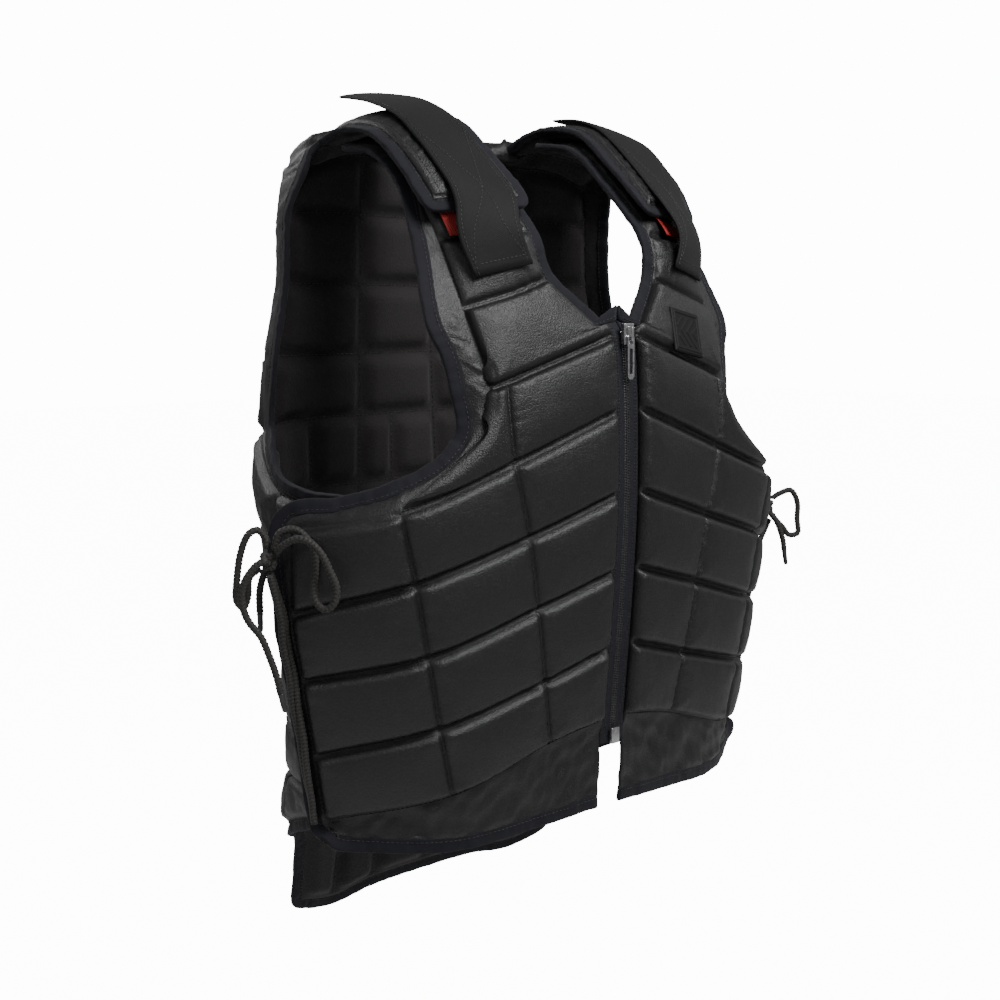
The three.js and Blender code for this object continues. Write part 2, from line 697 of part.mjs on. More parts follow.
// Red webbing under the strap, from below the flap's end down to the chest.
function band() {
  const over = TONGUE_WALL / 2 + GAP + BAND_WALL / 2;
  const stations = [2.64, 2.78, 2.9, 3.02].map((row) => off(frontTop, 0.95, row, over));
  return bar(stations.map((station) => ({ ...station, half: BAND_WIDTH / 2, wall: BAND_WALL })));
}

// Zip: the line down the middle of the front, at the blocks' edge.
const ZIP_END = 4.3;
const zipTopLine = [5, 5.5, 6, 6.5, 7, 7.5, 8].map((v) => frontTop(0, v));
const zipLowLine = [0.5, 1, 1.5, 2, 2.5, 3, 3.5, 4, ZIP_END].map((v) => frontLow(0, v));
const zipLine = [...zipTopLine, ...zipLowLine];
function zipBar(across, half, wall, offset = 0) {
  const stations = zipLine.map((p, i) => {
    const run = zipLine[Math.min(i + 1, zipLine.length - 1)].clone().sub(zipLine[Math.max(i - 1, 0)]);
    const wide = new THREE.Vector3(1, 0, 0);
    const thick = run.cross(wide).normalize();
    const point = new THREE.Vector3(across, p.y, p.z).addScaledVector(thick, offset);
    return { point, wide, thick, half, wall };
  });
  return bar(stations);
}
const TAPE_HALF = (ZIP_HALF - GAP - CHAIN_WIDTH / 2 - GAP) / 2;
const TAPE_MIDDLE = ZIP_HALF - GAP - TAPE_HALF;

function block(width, depth, height, x, y, z) {
  return new THREE.BoxGeometry(width, depth, height).translate(x, y, z);
}

function solid(geometry) {
  const clean = geometry.clone();
  for (const key of ["normal", "uv"]) if (clean.getAttribute(key)) clean.deleteAttribute(key);
  const merged = mergeVertices(clean, 1e-3);
  const vertProperties = new Float32Array(merged.getAttribute("position").array);
  const triVerts = new Uint32Array(merged.index.array);
  return new wasm.Manifold(new wasm.Mesh({ numProp: 3, vertProperties, triVerts }));
}

function shapeOf(body) {
  const mesh = body.getMesh();
  const made = new THREE.BufferGeometry();
  made.setAttribute("position", new THREE.Float32BufferAttribute(mesh.vertProperties, 3));
  made.setIndex(Array.from(mesh.triVerts));
  return made;
}

// How far forward a part that sits on the chain at a height has its back.
function clearOfChain(z) {
  const next = zipLine.findIndex((p) => p.z <= z);
  const [a, b] = [zipLine[next - 1], zipLine[next]];
  const middle = THREE.MathUtils.mapLinear(z, a.z, b.z, a.y, b.y);
  const slant = a.distanceTo(b) / (a.z - b.z);
  return middle - (CHAIN_WALL / 2) * slant - GAP;
}

// Slider at the top of the chain, with the bridge that the puller hangs in.
const sliderTop = zipLine[0].z;
const sliderBack = clearOfChain(sliderTop - SLIDER_LENGTH);
const sliderFace = sliderBack - SLIDER_WALL;
const pinY = sliderFace - GAP - BRIDGE_BAR / 2;
const pinZ = sliderTop - SLIDER_LENGTH / 2 - BRIDGE_SPAN / 2 + BRIDGE_BAR;
const postDepth = BRIDGE_BAR * 2 + GAP * 2;
function slider() {
  const middle = sliderTop - SLIDER_LENGTH / 2;
  const loop = BRIDGE_SPAN / 2 + BRIDGE_BAR / 2;
  const overlap = 0.2;
  const postY = sliderFace - (postDepth - overlap) / 2;
  const post = (z) => block(BRIDGE_WIDTH, postDepth + overlap, BRIDGE_BAR, 0, postY, z);
  const bridgeY = sliderFace - postDepth + BRIDGE_BAR / 2;
  const bridge = block(BRIDGE_WIDTH, BRIDGE_BAR, 2 * loop + BRIDGE_BAR, 0, bridgeY, middle);
  return shapeOf(
    solid(block(SLIDER_WIDTH, SLIDER_WALL, SLIDER_LENGTH, 0, sliderBack - SLIDER_WALL / 2, middle))
      .add(solid(post(middle - loop)))
      .add(solid(post(middle + loop)))
      .add(solid(bridge)),
  );
}

// Puller: a long plate with a hole at its pin and a slot down its length.
function puller() {
  const outline = new THREE.Shape();
  const half = PULLER_WIDTH / 2;
  const top = BRIDGE_BAR / 2;
  const end = top - PULLER_LENGTH;
  outline.moveTo(half - 1, top);
  outline.lineTo(-half + 1, top);
  outline.lineTo(-half, top - 1);
  outline.lineTo(-half, end + 2);
  outline.lineTo(-half + 2, end);
  outline.lineTo(half - 2, end);
  outline.lineTo(half, end + 2);
  outline.lineTo(half, top - 1);
  const hole = (x, from, to) => {
    const path = new THREE.Path();
    path.moveTo(x, from);
    path.lineTo(x, to);
    path.lineTo(-x, to);
    path.lineTo(-x, from);
    outline.holes.push(path);
  };
  const holeTop = top - BRIDGE_BAR;
  const holeEnd = holeTop - PULLER_HOLE * 1.1;
  const slotTop = holeEnd - PULLER_BRIDGE;
  hole(PULLER_HOLE / 2, holeTop, holeEnd);
  hole(PULLER_SLOT_WIDTH / 2, slotTop, slotTop - PULLER_SLOT);
  const plate = new THREE.ExtrudeGeometry(outline, { depth: PULLER_WALL, bevelEnabled: false });
  return plate.rotateX(Math.PI / 2).translate(0, pinY + PULLER_WALL / 2, pinZ);
}

// Bottom box of the zip, in front of the chain's end.
function zipBox() {
  const last = zipLine[zipLine.length - 1];
  const rear = clearOfChain(last.z + BOX_LENGTH);
  return block(BOX_WIDTH, BOX_WALL, BOX_LENGTH, 0, rear - BOX_WALL / 2, last.z + BOX_LENGTH / 2);
}

// Square badge on the wearer's left, on the first block under the strap.
const BADGE_COLUMN = 0.6;
const BADGE_ROW = 4.97;
function badge() {
  const out = SEAM_WALL / 2 + PAD_OUT + PAD_CROWN + 4 * GAP + BADGE_WALL / 2;
  const { point, wide, thick } = off(frontTop, BADGE_COLUMN, BADGE_ROW, out);
  const half = BADGE_SIDE / 2;
  const down = wide.clone().cross(thick);
  const stations = [-half, half].map((d) => ({
    point: point.clone().addScaledVector(down, d),
    wide,
    thick,
    half,
    wall: BADGE_WALL,
  }));
  return bar(stations);
}

// Side laces: the doubled run sewn down each side edge, the bow's knot, its loops and its tails.
// Points are in millimetres, chosen by hand on each side.
const KNOTS = { right: [-251, -50, -280], left: [248, -53, -291] };
const LOOPS = {
  right_front: [
    [-246, -61, -269], [-240, -68, -265], [-234, -74, -268], [-230, -80, -275], [-227, -84, -285],
    [-224, -87, -296], [-225, -86, -306], [-229, -81, -311], [-232, -75, -306], [-231, -71, -297],
    [-229, -70, -287], [-229, -70, -276], [-232, -68, -267], [-238, -62, -260], [-246, -56, -262],
  ],
  right_back: [
    [-250, -45, -267], [-254, -42, -261], [-260, -39, -264], [-264, -36, -276], [-266, -34, -292],
    [-267, -34, -306], [-262, -34, -312], [-260, -37, -304], [-262, -43, -291],
  ],
  left: [
    [252, -56, -283], [257, -60, -279], [264, -66, -277], [269, -69, -288], [269, -69, -302],
    [269, -70, -314], [263, -65, -316], [258, -62, -309], [253, -58, -302],
  ],
};
const TAILS = {
  right_long: [
    [-259, -56, -279], [-264, -53, -283], [-269, -50, -291], [-271, -48, -300], [-270, -48, -310],
    [-267, -50, -319], [-261, -54, -329], [-257, -57, -342], [-254, -60, -355], [-252, -61, -366],
  ],
  right_short: [[-248, -39, -289], [-248, -34, -297], [-248, -31, -306], [-248, -31, -318]],
  left: [[245, -60, -297], [248, -64, -304], [252, -67, -318], [253, -68, -328]],
};
const CORD_SIDES = 8;

function cordSection(radius, sides) {
  const section = new THREE.Shape();
  for (let k = 0; k < sides; k += 1) {
    const angle = (2 * Math.PI * (k + 0.5)) / sides;
    const spot = [radius * Math.cos(angle), radius * Math.sin(angle)];
    if (k === 0) section.moveTo(...spot);
    else section.lineTo(...spot);
  }
  return section;
}

function tube(points) {
  const curve = new THREE.CatmullRomCurve3(points);
  const steps = Math.max(Math.round(curve.getLength() / (2.2 * LACE)), 1);
  const options = { steps, bevelEnabled: false, extrudePath: curve };
  return new THREE.ExtrudeGeometry(cordSection(LACE / 2, CORD_SIDES), options);
}

// The first stretch of a cord starts clear of its knot.
function fromKnot(points, side, ends) {
  const middle = new THREE.Vector3(...KNOTS[side]);
  const list = points.map((p) => new THREE.Vector3(...p));
  const clear = KNOT / 2 + GAP;
  const seat = (p) => middle.clone().addScaledVector(p.clone().sub(middle).normalize(), clear);
  const first = seat(list[0]);
  return ends === 2 ? [first, ...list, seat(list[list.length - 1])] : [first, ...list];
}

// The doubled run lies on the binding of the side edge, from the knot down to the hem's corner.
function laceRun(sign) {
  const side = front.sideRims.map((point) => front.shell.find(point).point);
  const half = LACE;
  const stations = rimStations(front.shell, side, false).map(({ point, wide, thick }) => ({
    point: point.clone().addScaledVector(thick, (BINDING_WALL + LACE) / 2 + GAP).addScaledVector(wide, 1),
    wide,
    thick,
    half,
    wall: LACE,
  }));
  const knot = new THREE.Vector3(...KNOTS[sign > 0 ? "left" : "right"]);
  knot.x *= sign;
  const top = stations[0];
  const start = new THREE.Vector3(knot.x, knot.y, knot.z - KNOT / 2 - 4 * GAP);
  return mirrored(bar([{ ...top, point: start }, ...stations], false, OBLONG), sign);
}

function aglet(points) {
  const [from, to] = points.slice(-2).map((p) => new THREE.Vector3(...p));
  const run = to.clone().sub(from).normalize();
  const start = to.clone().addScaledVector(run, GAP);
  const end = start.clone().addScaledVector(run, AGLET_LENGTH);
  const options = { steps: 1, bevelEnabled: false, extrudePath: new THREE.LineCurve3(start, end) };
  return new THREE.ExtrudeGeometry(cordSection(AGLET / 2, CORD_SIDES), options);
}

const root = new THREE.Group();
const cloth = new THREE.MeshStandardMaterial({ color: 0x26262a, roughness: 0.55, metalness: 0 });
const tape = new THREE.MeshStandardMaterial({ color: 0x24242e, roughness: 0.8, metalness: 0 });
const webbing = new THREE.MeshStandardMaterial({ color: 0xa01818, roughness: 0.7, metalness: 0 });
const hook = new THREE.MeshStandardMaterial({ color: 0x1c1c1e, roughness: 0.9, metalness: 0 });
const metal = new THREE.MeshStandardMaterial({ color: 0xb8b8bc, roughness: 0.3, metalness: 1 });
const braid = new THREE.MeshStandardMaterial({ color: 0x2b2b2b, roughness: 0.75, metalness: 0 });
const plastic = new THREE.MeshStandardMaterial({ color: 0x202022, roughness: 0.4, metalness: 0 });

function add(name, geometry, material) {
  const clean = geometry.clone();
  for (const key of ["normal", "uv"]) if (clean.getAttribute(key)) clean.deleteAttribute(key);
  const mesh = new THREE.Mesh(mergeVertices(clean, 1e-3), material);
  mesh.geometry.computeVertexNormals();
  mesh.name = name;
  root.add(mesh);
}

add("back_panel", outward(back.geometry), cloth);
add("back_binding", binding(back.shell, back.chain, true), tape);
for (const [side, sign] of SIDES) {
  add(`front_panel_${side}`, mirrored(outward(front.geometry), sign), cloth);
  add(`front_binding_${side}`, mirrored(binding(front.shell, front.chain), sign), tape);
  add(`shoulder_strap_${side}`, mirrored(strap(side), sign), hook);
  add(`red_band_${side}`, mirrored(band(), sign), webbing);
  add(`zip_tape_${side}`, zipBar(sign * TAPE_MIDDLE, TAPE_HALF, TAPE_WALL), tape);
  add(`lace_run_${side}`, laceRun(sign), braid);
  const knot = new THREE.SphereGeometry(KNOT / 2, 10, 8).translate(...KNOTS[side]);
  add(`lace_knot_${side}`, knot, braid);
}
add("zip_chain", zipBar(0, CHAIN_WIDTH / 2, CHAIN_WALL), metal);
add("zip_slider", slider(), metal);
add("zip_puller", puller(), metal);
add("zip_box", zipBox(), metal);
add("badge", badge(), cloth);
for (const [name, points] of Object.entries(LOOPS)) {
  const side = name.split("_")[0];
  add(`lace_loop_${name}`, tube(fromKnot(points, side, 2)), braid);
}
for (const [name, points] of Object.entries(TAILS)) {
  const side = name.split("_")[0];
  add(`lace_tail_${name}`, tube(fromKnot(points, side, 1)), braid);
  add(`lace_aglet_${name}`, aglet(points), plastic);
}

export default root;
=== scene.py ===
import math

import bmesh
import bpy
import numpy as np
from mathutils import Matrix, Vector


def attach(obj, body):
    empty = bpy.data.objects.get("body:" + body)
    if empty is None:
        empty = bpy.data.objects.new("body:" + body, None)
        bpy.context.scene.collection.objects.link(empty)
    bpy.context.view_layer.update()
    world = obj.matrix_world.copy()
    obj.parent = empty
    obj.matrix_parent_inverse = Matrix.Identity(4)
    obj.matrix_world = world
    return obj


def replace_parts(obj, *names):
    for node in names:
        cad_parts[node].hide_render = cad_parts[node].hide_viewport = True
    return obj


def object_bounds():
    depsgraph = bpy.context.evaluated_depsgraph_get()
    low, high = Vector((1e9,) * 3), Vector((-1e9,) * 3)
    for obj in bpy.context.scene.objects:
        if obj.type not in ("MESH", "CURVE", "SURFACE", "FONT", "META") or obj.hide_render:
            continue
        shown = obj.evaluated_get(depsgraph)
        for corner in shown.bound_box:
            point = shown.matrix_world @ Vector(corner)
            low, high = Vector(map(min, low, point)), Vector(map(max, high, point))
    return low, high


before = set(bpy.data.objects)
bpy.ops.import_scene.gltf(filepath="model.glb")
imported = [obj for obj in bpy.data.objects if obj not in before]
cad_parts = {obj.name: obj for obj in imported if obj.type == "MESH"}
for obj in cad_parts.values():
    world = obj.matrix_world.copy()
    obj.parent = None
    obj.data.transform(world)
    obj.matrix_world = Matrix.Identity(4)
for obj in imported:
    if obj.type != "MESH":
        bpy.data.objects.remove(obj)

cad_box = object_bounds()
MM = 0.001

# Photographer's set: a pale floor well below the vest, a white surround, soft lamps from the front,
# the side and behind, and the camera where it stood when the vest was photographed.
CAMERA_PLACE = (-0.71126, -0.83193, -0.12616)
CAMERA_AIM = (0.6375, 0.7597, -0.1283)
CAMERA_ANGLE = 39.35
CAMERA_ROLL = -0.5
FLOOR_DROP = 0.5
SOFT_LIGHT = 0.25
PAPER_WHITE = 14.0
FLOOR_WHITE = 13.2

camera_data = bpy.data.cameras.new("camera")
camera = bpy.data.objects.new("camera", camera_data)
bpy.context.scene.collection.objects.link(camera)
camera.location = CAMERA_PLACE
camera.rotation_euler = Vector(CAMERA_AIM).to_track_quat("-Z", "Y").to_euler()
camera.rotation_euler.rotate_axis("Z", math.radians(CAMERA_ROLL))
camera_data.angle = math.radians(CAMERA_ANGLE)
bpy.context.scene.camera = camera


def lamp(name, place, size, power, colour=(1, 1, 1)):
    data = bpy.data.lights.new(name, "AREA")
    data.shape = "DISK"
    data.size = size
    data.energy = power
    data.color = colour
    lit = bpy.data.objects.new(name, data)
    lit.location = place
    lit.rotation_euler = (Vector((0, 0, -0.3)) - Vector(place)).to_track_quat("-Z", "Y").to_euler()
    bpy.context.scene.collection.objects.link(lit)


lamp("key_lamp", (0.05, -0.95, 0.75), 0.7, 21)
lamp("left_lamp", (-2.2, -0.7, 0.9), 1.0, 5)
lamp("right_lamp", (2.3, -0.5, 0.8), 1.0, 4)
lamp("back_lamp", (-0.6, 2.2, 1.4), 1.2, 20)

surround = bpy.data.worlds.new("surround")
surround.use_nodes = True
surround_light = surround.node_tree.nodes["Background"]
surround_light.inputs["Color"].default_value = (1, 1, 1, 1)
seen = surround.node_tree.nodes.new("ShaderNodeLightPath")
glow = surround.node_tree.nodes.new("ShaderNodeMapRange")
glow.inputs["To Min"].default_value = SOFT_LIGHT
glow.inputs["To Max"].default_value = PAPER_WHITE
surround.node_tree.links.new(seen.outputs["Is Camera Ray"], glow.inputs["Value"])
surround.node_tree.links.new(glow.outputs["Result"], surround_light.inputs["Strength"])
bpy.context.scene.world = surround

bpy.ops.object.select_all(action="DESELECT")
bpy.ops.mesh.primitive_plane_add(size=30, location=(0, 0, cad_box[0][2] - FLOOR_DROP))
floor = bpy.context.object
floor.name = "floor"
floor_paint = bpy.data.materials.new("floor_paint")
floor_paint.use_nodes = True
floor_shader = floor_paint.node_tree.nodes["Principled BSDF"]
floor_shader.inputs["Base Color"].default_value = (0.9, 0.9, 0.9, 1)
floor_shader.inputs["Roughness"].default_value = 0.9
floor_shader.inputs["Emission Color"].default_value = (1, 1, 1, 1)
floor_seen = floor_paint.node_tree.nodes.new("ShaderNodeLightPath")
floor_glow = floor_paint.node_tree.nodes.new("ShaderNodeMath")
floor_glow.operation = "MULTIPLY"
floor_glow.inputs[1].default_value = FLOOR_WHITE
floor_paint.node_tree.links.new(floor_seen.outputs["Is Camera Ray"], floor_glow.inputs[0])
floor_paint.node_tree.links.new(floor_glow.outputs["Value"], floor_shader.inputs["Emission Strength"])
floor.data.materials.append(floor_paint)


# Side laces: one round braided cord a side, laced down the edge of the front and tied in a bow at
# the top. Each bow has its knot, its loops and its loose tails with moulded tips.
LACE = 5.2 * MM
AGLET = 4.4 * MM
AGLET_LENGTH = 13 * MM
KNOT = 15 * MM
GAP = 0.3 * MM
BRAID_PITCH = 2.7 * MM
BRAID_ROWS = 4
BRAID_RELIEF = 0.16
BRAID_STEP = 0.6 * MM
KNOTS = {"right": (-251, -50, -280), "left": (248, -53, -291)}
LOOPS = {
    "right_front": [
        (-246, -61, -269), (-240, -68, -265), (-234, -74, -268), (-230, -80, -275), (-227, -84, -285),
        (-224, -87, -296), (-225, -86, -306), (-229, -81, -311), (-232, -75, -306), (-231, -71, -297),
        (-229, -70, -287), (-229, -70, -276), (-232, -68, -267), (-238, -62, -260), (-246, -56, -262),
    ],
    "right_back": [
        (-250, -45, -267), (-254, -42, -261), (-260, -39, -264), (-264, -36, -276), (-266, -34, -292),
        (-267, -34, -306), (-262, -34, -312), (-260, -37, -304), (-262, -43, -291),
    ],
    "left": [
        (252, -56, -283), (257, -60, -279), (264, -66, -277), (269, -69, -288), (269, -69, -302),
        (269, -70, -314), (263, -65, -316), (258, -62, -309), (253, -58, -302),
    ],
}
TAILS = {
    "right_long": [
        (-259, -56, -279), (-264, -53, -283), (-269, -50, -291), (-271, -48, -300), (-270, -48, -310),
        (-267, -50, -319), (-261, -54, -329), (-257, -57, -342), (-254, -60, -355), (-252, -61, -366),
    ],
    "right_short": [(-248, -39, -289), (-248, -34, -297), (-248, -31, -306), (-248, -31, -318)],
    "left": [(245, -60, -297), (248, -64, -304), (252, -67, -318), (253, -68, -328)],
}


def curve_weights(count, t):
    """Shares of count points in a smooth curve through them, at places t from 0 to count - 1."""
    t = np.asarray(t, float)
    slope = np.zeros((count, count))
    for i in range(1, count - 1):
        slope[i, i + 1], slope[i, i - 1] = 0.5, -0.5
    slope[0, 1], slope[0, 0] = 1, -1
    slope[-1, -1], slope[-1, -2] = 1, -1
    i = np.clip(np.floor(t).astype(int), 0, count - 2)
    f = np.clip(t - i, 0, 1)[:, None]
    one = np.eye(count)
    return (
        (2 * f**3 - 3 * f**2 + 1) * one[i]
        + (f**3 - 2 * f**2 + f) * slope[i]
        + (3 * f**2 - 2 * f**3) * one[i + 1]
        + (f**3 - f**2) * slope[i + 1]
    )


def reach_of(points):
    """How far along a line each of its points is."""
    return np.concatenate([[0], np.cumsum(np.linalg.norm(np.diff(points, axis=0), axis=1))])


def picked(places, reach, values):
    """Values of a line's points, at places along it."""
    return np.stack([np.interp(places, reach, values[:, k]) for k in range(3)], 1)


def evenly(points, step):
    """Points of a polyline at even steps, the ends kept."""
    points = np.asarray(points, float)
    reach = reach_of(points)
    count = max(int(round(reach[-1] / step)), 2) + 1
    at = np.linspace(0, reach[-1], count)
    return picked(at, reach, points)


def smooth_line(points, step):
    points = np.asarray(points, float)
    t = np.linspace(0, len(points) - 1, 40 * len(points))
    return evenly(curve_weights(len(points), t) @ points, step)


def unit(v):
    return v / np.maximum(np.linalg.norm(v, axis=-1, keepdims=True), 1e-12)


def frames_along(line, start=None):
    """Run, side and lift directions along a line, without twist."""
    run = unit(np.gradient(line, axis=0))
    side = np.zeros_like(run)
    first = np.array(start if start is not None else (0.3, 0.2, 0.93))
    side[0] = unit(first - run[0] * (first @ run[0]))
    for i in range(1, len(line)):
        side[i] = unit(side[i - 1] - run[i] * (side[i - 1] @ run[i]))
    return run, side, np.cross(run, side)


def make_mesh(name, points, faces, paints, uv=None, paint_of=None, closed=True):
    """A smooth object of these points and faces, with its paints and its own UV in metres."""
    mesh = bpy.data.meshes.new(name)
    mesh.from_pydata([tuple(p) for p in points], [], [tuple(int(k) for k in f) for f in faces])
    for paint in paints:
        mesh.materials.append(paint)
    mesh.shade_smooth()
    if paint_of is not None:
        mesh.polygons.foreach_set("material_index", np.asarray(paint_of, np.int32))
    if uv is not None:
        layer = mesh.uv_layers.new(name="cloth")
        corner = np.zeros(len(mesh.loops), np.int32)
        mesh.loops.foreach_get("vertex_index", corner)
        layer.data.foreach_set("uv", np.asarray(uv, float)[corner].ravel())
    mesh.update()
    made = bpy.data.objects.new(name, mesh)
    bpy.context.scene.collection.objects.link(made)
    if closed:
        shape = bmesh.new()
        shape.from_mesh(mesh)
        if shape.calc_volume(signed=True) < 0:
            bmesh.ops.reverse_faces(shape, faces=shape.faces)
            shape.to_mesh(mesh)
        shape.free()
    return made


def ring_faces(rings, sides, closed=False):
    """Faces of a tube of rings, with a fan of its two ends unless it closes on itself."""
    s, k = np.meshgrid(np.arange(rings if closed else rings - 1), np.arange(sides), indexing="ij")
    after = (s + 1) % rings
    beside = (k + 1) % sides
    quads = np.stack([s * sides + k, s * sides + beside, after * sides + beside, after * sides + k], -1)
    faces = [tuple(q) for q in quads.reshape(-1, 4)]
    if not closed:
        faces.append(tuple(range(sides - 1, -1, -1)))
        faces.append(tuple(range((rings - 1) * sides, rings * sides)))
    return faces


def braided_cord(name, line, radius, paint, squash=1.0):
    """A round cord with the relief of a braid, along a line with steps of about a millimetre."""
    sides = 24
    _, side, lift = frames_along(line)
    angle = np.linspace(0, 2 * math.pi, sides, endpoint=False)
    reach = np.arange(len(line)) * np.linalg.norm(line[1] - line[0])
    slant = np.abs((angle * BRAID_ROWS / (2 * math.pi)) % 1 - 0.5)[None, :]
    strand = 0.5 + 0.5 * np.cos(2 * math.pi * (reach[:, None] / BRAID_PITCH + slant))
    ridge = np.abs(np.cos(2 * math.pi * slant))
    relief = 1 - BRAID_RELIEF * (1 - strand) - BRAID_RELIEF * 0.6 * (1 - ridge)
    wide = radius * relief * np.cos(angle)[None, :]
    high = radius * relief * np.sin(angle)[None, :] * squash
    points = line[:, None, :] + side[:, None, :] * wide[:, :, None] + lift[:, None, :] * high[:, :, None]
    uv = np.stack(
        [np.repeat(reach[:, None], sides, 1), np.repeat(angle[None, :] / (2 * math.pi), len(line), 0)], -1
    )
    faces = ring_faces(len(line), sides)
    return make_mesh(name, points.reshape(-1, 3), faces, [paint], uv.reshape(-1, 2))


def new_paint(name, colour, roughness, metal=0.0):
    """A material with its Principled shader, ready for a pattern."""
    paint = bpy.data.materials.new(name)
    paint.use_nodes = True
    shader = paint.node_tree.nodes["Principled BSDF"]
    shader.inputs["Base Color"].default_value = (*colour, 1)
    shader.inputs["Roughness"].default_value = roughness
    shader.inputs["Metallic"].default_value = metal
    return paint, paint.node_tree, shader


def link(tree, start, output, end, socket):
    tree.links.new(start.outputs[output], end.inputs[socket])


def node(tree, kind, **values):
    made = tree.nodes.new(kind)
    for key, value in values.items():
        if key in made.inputs:
            made.inputs[key].default_value = value
        else:
            setattr(made, key, value)
    return made


def maths(tree, operation, first, second=None, third=None):
    """A Math node whose inputs are numbers or (node, output) pairs."""
    made = tree.nodes.new("ShaderNodeMath")
    made.operation = operation
    for slot_number, value in enumerate((first, second, third)):
        if value is None:
            continue
        if isinstance(value, tuple):
            tree.links.new(value[0].outputs[value[1]], made.inputs[slot_number])
        else:
            made.inputs[slot_number].default_value = value
    return made


def group_of(name, inputs, outputs):
    """A shader group with its own named inputs (name, default) and outputs."""
    tree = bpy.data.node_groups.new(name, "ShaderNodeTree")
    for label, default in inputs:
        socket = tree.interface.new_socket(label, in_out="INPUT", socket_type="NodeSocketFloat")
        socket.default_value = default
    for label, kind in outputs:
        tree.interface.new_socket(label, in_out="OUTPUT", socket_type=kind)
    return tree, tree.nodes.new("NodeGroupInput"), tree.nodes.new("NodeGroupOutput")


# A woven cloth's threads: two sets of ridges crossed in the cloth's own UV, in metres.
weave_group, g_in, g_out = group_of(
    "woven_threads", [("Threads", 2200.0), ("Slant", 0.0)], [("Height", "NodeSocketFloat")]
)
g_uv = node(weave_group, "ShaderNodeUVMap", uv_map="cloth")
g_parts = node(weave_group, "ShaderNodeSeparateXYZ")
link(weave_group, g_uv, "UV", g_parts, "Vector")
g_skew = maths(weave_group, "MULTIPLY_ADD", (g_parts, "Y"), (g_in, "Slant"), (g_parts, "X"))
g_across = maths(weave_group, "MULTIPLY", (g_skew, "Value"), (g_in, "Threads"))
g_along = maths(weave_group, "MULTIPLY", (g_parts, "Y"), (g_in, "Threads"))
g_sin_a = maths(weave_group, "SINE", (g_across, "Value"))
g_sin_b = maths(weave_group, "SINE", (g_along, "Value"))
g_over = maths(weave_group, "MULTIPLY", (g_sin_a, "Value"), (g_sin_b, "Value"))
link(weave_group, g_over, "Value", g_out, "Height")


def noise(tree, scale, detail, **more):
    """A random pattern over the object's own coordinates."""
    made = node(tree, "ShaderNodeTexNoise", Scale=scale, Detail=detail, **more)
    link(tree, node(tree, "ShaderNodeTexCoord"), "Object", made, "Vector")
    return made


def gloss(tree, shader, pattern, low, high):
    """Roughness between two values by a pattern."""
    made = node(tree, "ShaderNodeMapRange")
    for key, value in (("From Min", 0.3), ("From Max", 0.7), ("To Min", low), ("To Max", high)):
        made.inputs[key].default_value = value
    link(tree, pattern, "Fac", made, "Value")
    link(tree, made, "Result", shader, "Roughness")


def add_group(tree, group, **values):
    made = tree.nodes.new("ShaderNodeGroup")
    made.node_tree = group
    for key, value in values.items():
        made.inputs[key].default_value = value
    return made


def bump_chain(tree, shader, heights):
    """Bump nodes one after another: heights holds (node, output, strength, distance)."""
    last = None
    for maker, output, strength, distance in heights:
        bump = node(tree, "ShaderNodeBump", Strength=strength, Distance=distance)
        link(tree, maker, output, bump, "Height")
        if last:
            link(tree, last, "Normal", bump, "Normal")
        last = bump
    link(tree, last, "Normal", shader, "Normal")


def tone(tree, shader, maker, output, low, high):
    """Base Color between two colours by a value that changes over the surface."""
    ramp = tree.nodes.new("ShaderNodeValToRGB")
    ramp.color_ramp.elements[0].color = (*low, 1)
    ramp.color_ramp.elements[1].color = (*high, 1)
    link(tree, maker, output, ramp, "Fac")
    link(tree, ramp, "Color", shader, "Base Color")
    return ramp


lace_paint, lace_tree, lace_shader = new_paint("lace_braid", (0.03, 0.03, 0.03), 0.72)
# Painted shade: the base colour is darkened in the bands between the braid's strands, following the braid's
# pattern, and mixed with random tone from noise.
lace_uv = node(lace_tree, "ShaderNodeUVMap", uv_map="cloth")
lace_parts = node(lace_tree, "ShaderNodeSeparateXYZ")
link(lace_tree, lace_uv, "UV", lace_parts, "Vector")
lace_round = maths(lace_tree, "MULTIPLY", (lace_parts, "Y"), BRAID_ROWS)
lace_slant = maths(lace_tree, "PINGPONG", (lace_round, "Value"), 0.5)
lace_reach = maths(lace_tree, "MULTIPLY_ADD", (lace_parts, "X"), 1 / BRAID_PITCH, (lace_slant, "Value"))
lace_turn = maths(lace_tree, "MULTIPLY", (lace_reach, "Value"), 2 * math.pi)
lace_strand_shade = maths(lace_tree, "COSINE", (lace_turn, "Value"))
lace_noise = noise(lace_tree, 900.0, 3.0)
lace_shade_and_tone = maths(lace_tree, "MULTIPLY_ADD", (lace_strand_shade, "Value"), 0.3, (lace_noise, "Fac"))
tone(lace_tree, lace_shader, lace_shade_and_tone, "Value", (0.003, 0.003, 0.0032), (0.036, 0.034, 0.03))
bump_chain(lace_tree, lace_shader, [(lace_noise, "Fac", 0.3, 0.0002)])
lace_shader.inputs["Sheen Weight"].default_value = 0.05
lace_shader.inputs["Sheen Roughness"].default_value = 0.5

tip_paint, tip_tree, tip_shader = new_paint("lace_tip_plastic", (0.02, 0.02, 0.02), 0.35)
tip_noise = noise(tip_tree, 320.0, 4.0)
tone(tip_tree, tip_shader, tip_noise, "Fac", (0.012, 0.012, 0.013), (0.05, 0.05, 0.05))
bump_chain(tip_tree, tip_shader, [(tip_noise, "Fac", 0.15, 0.0003)])


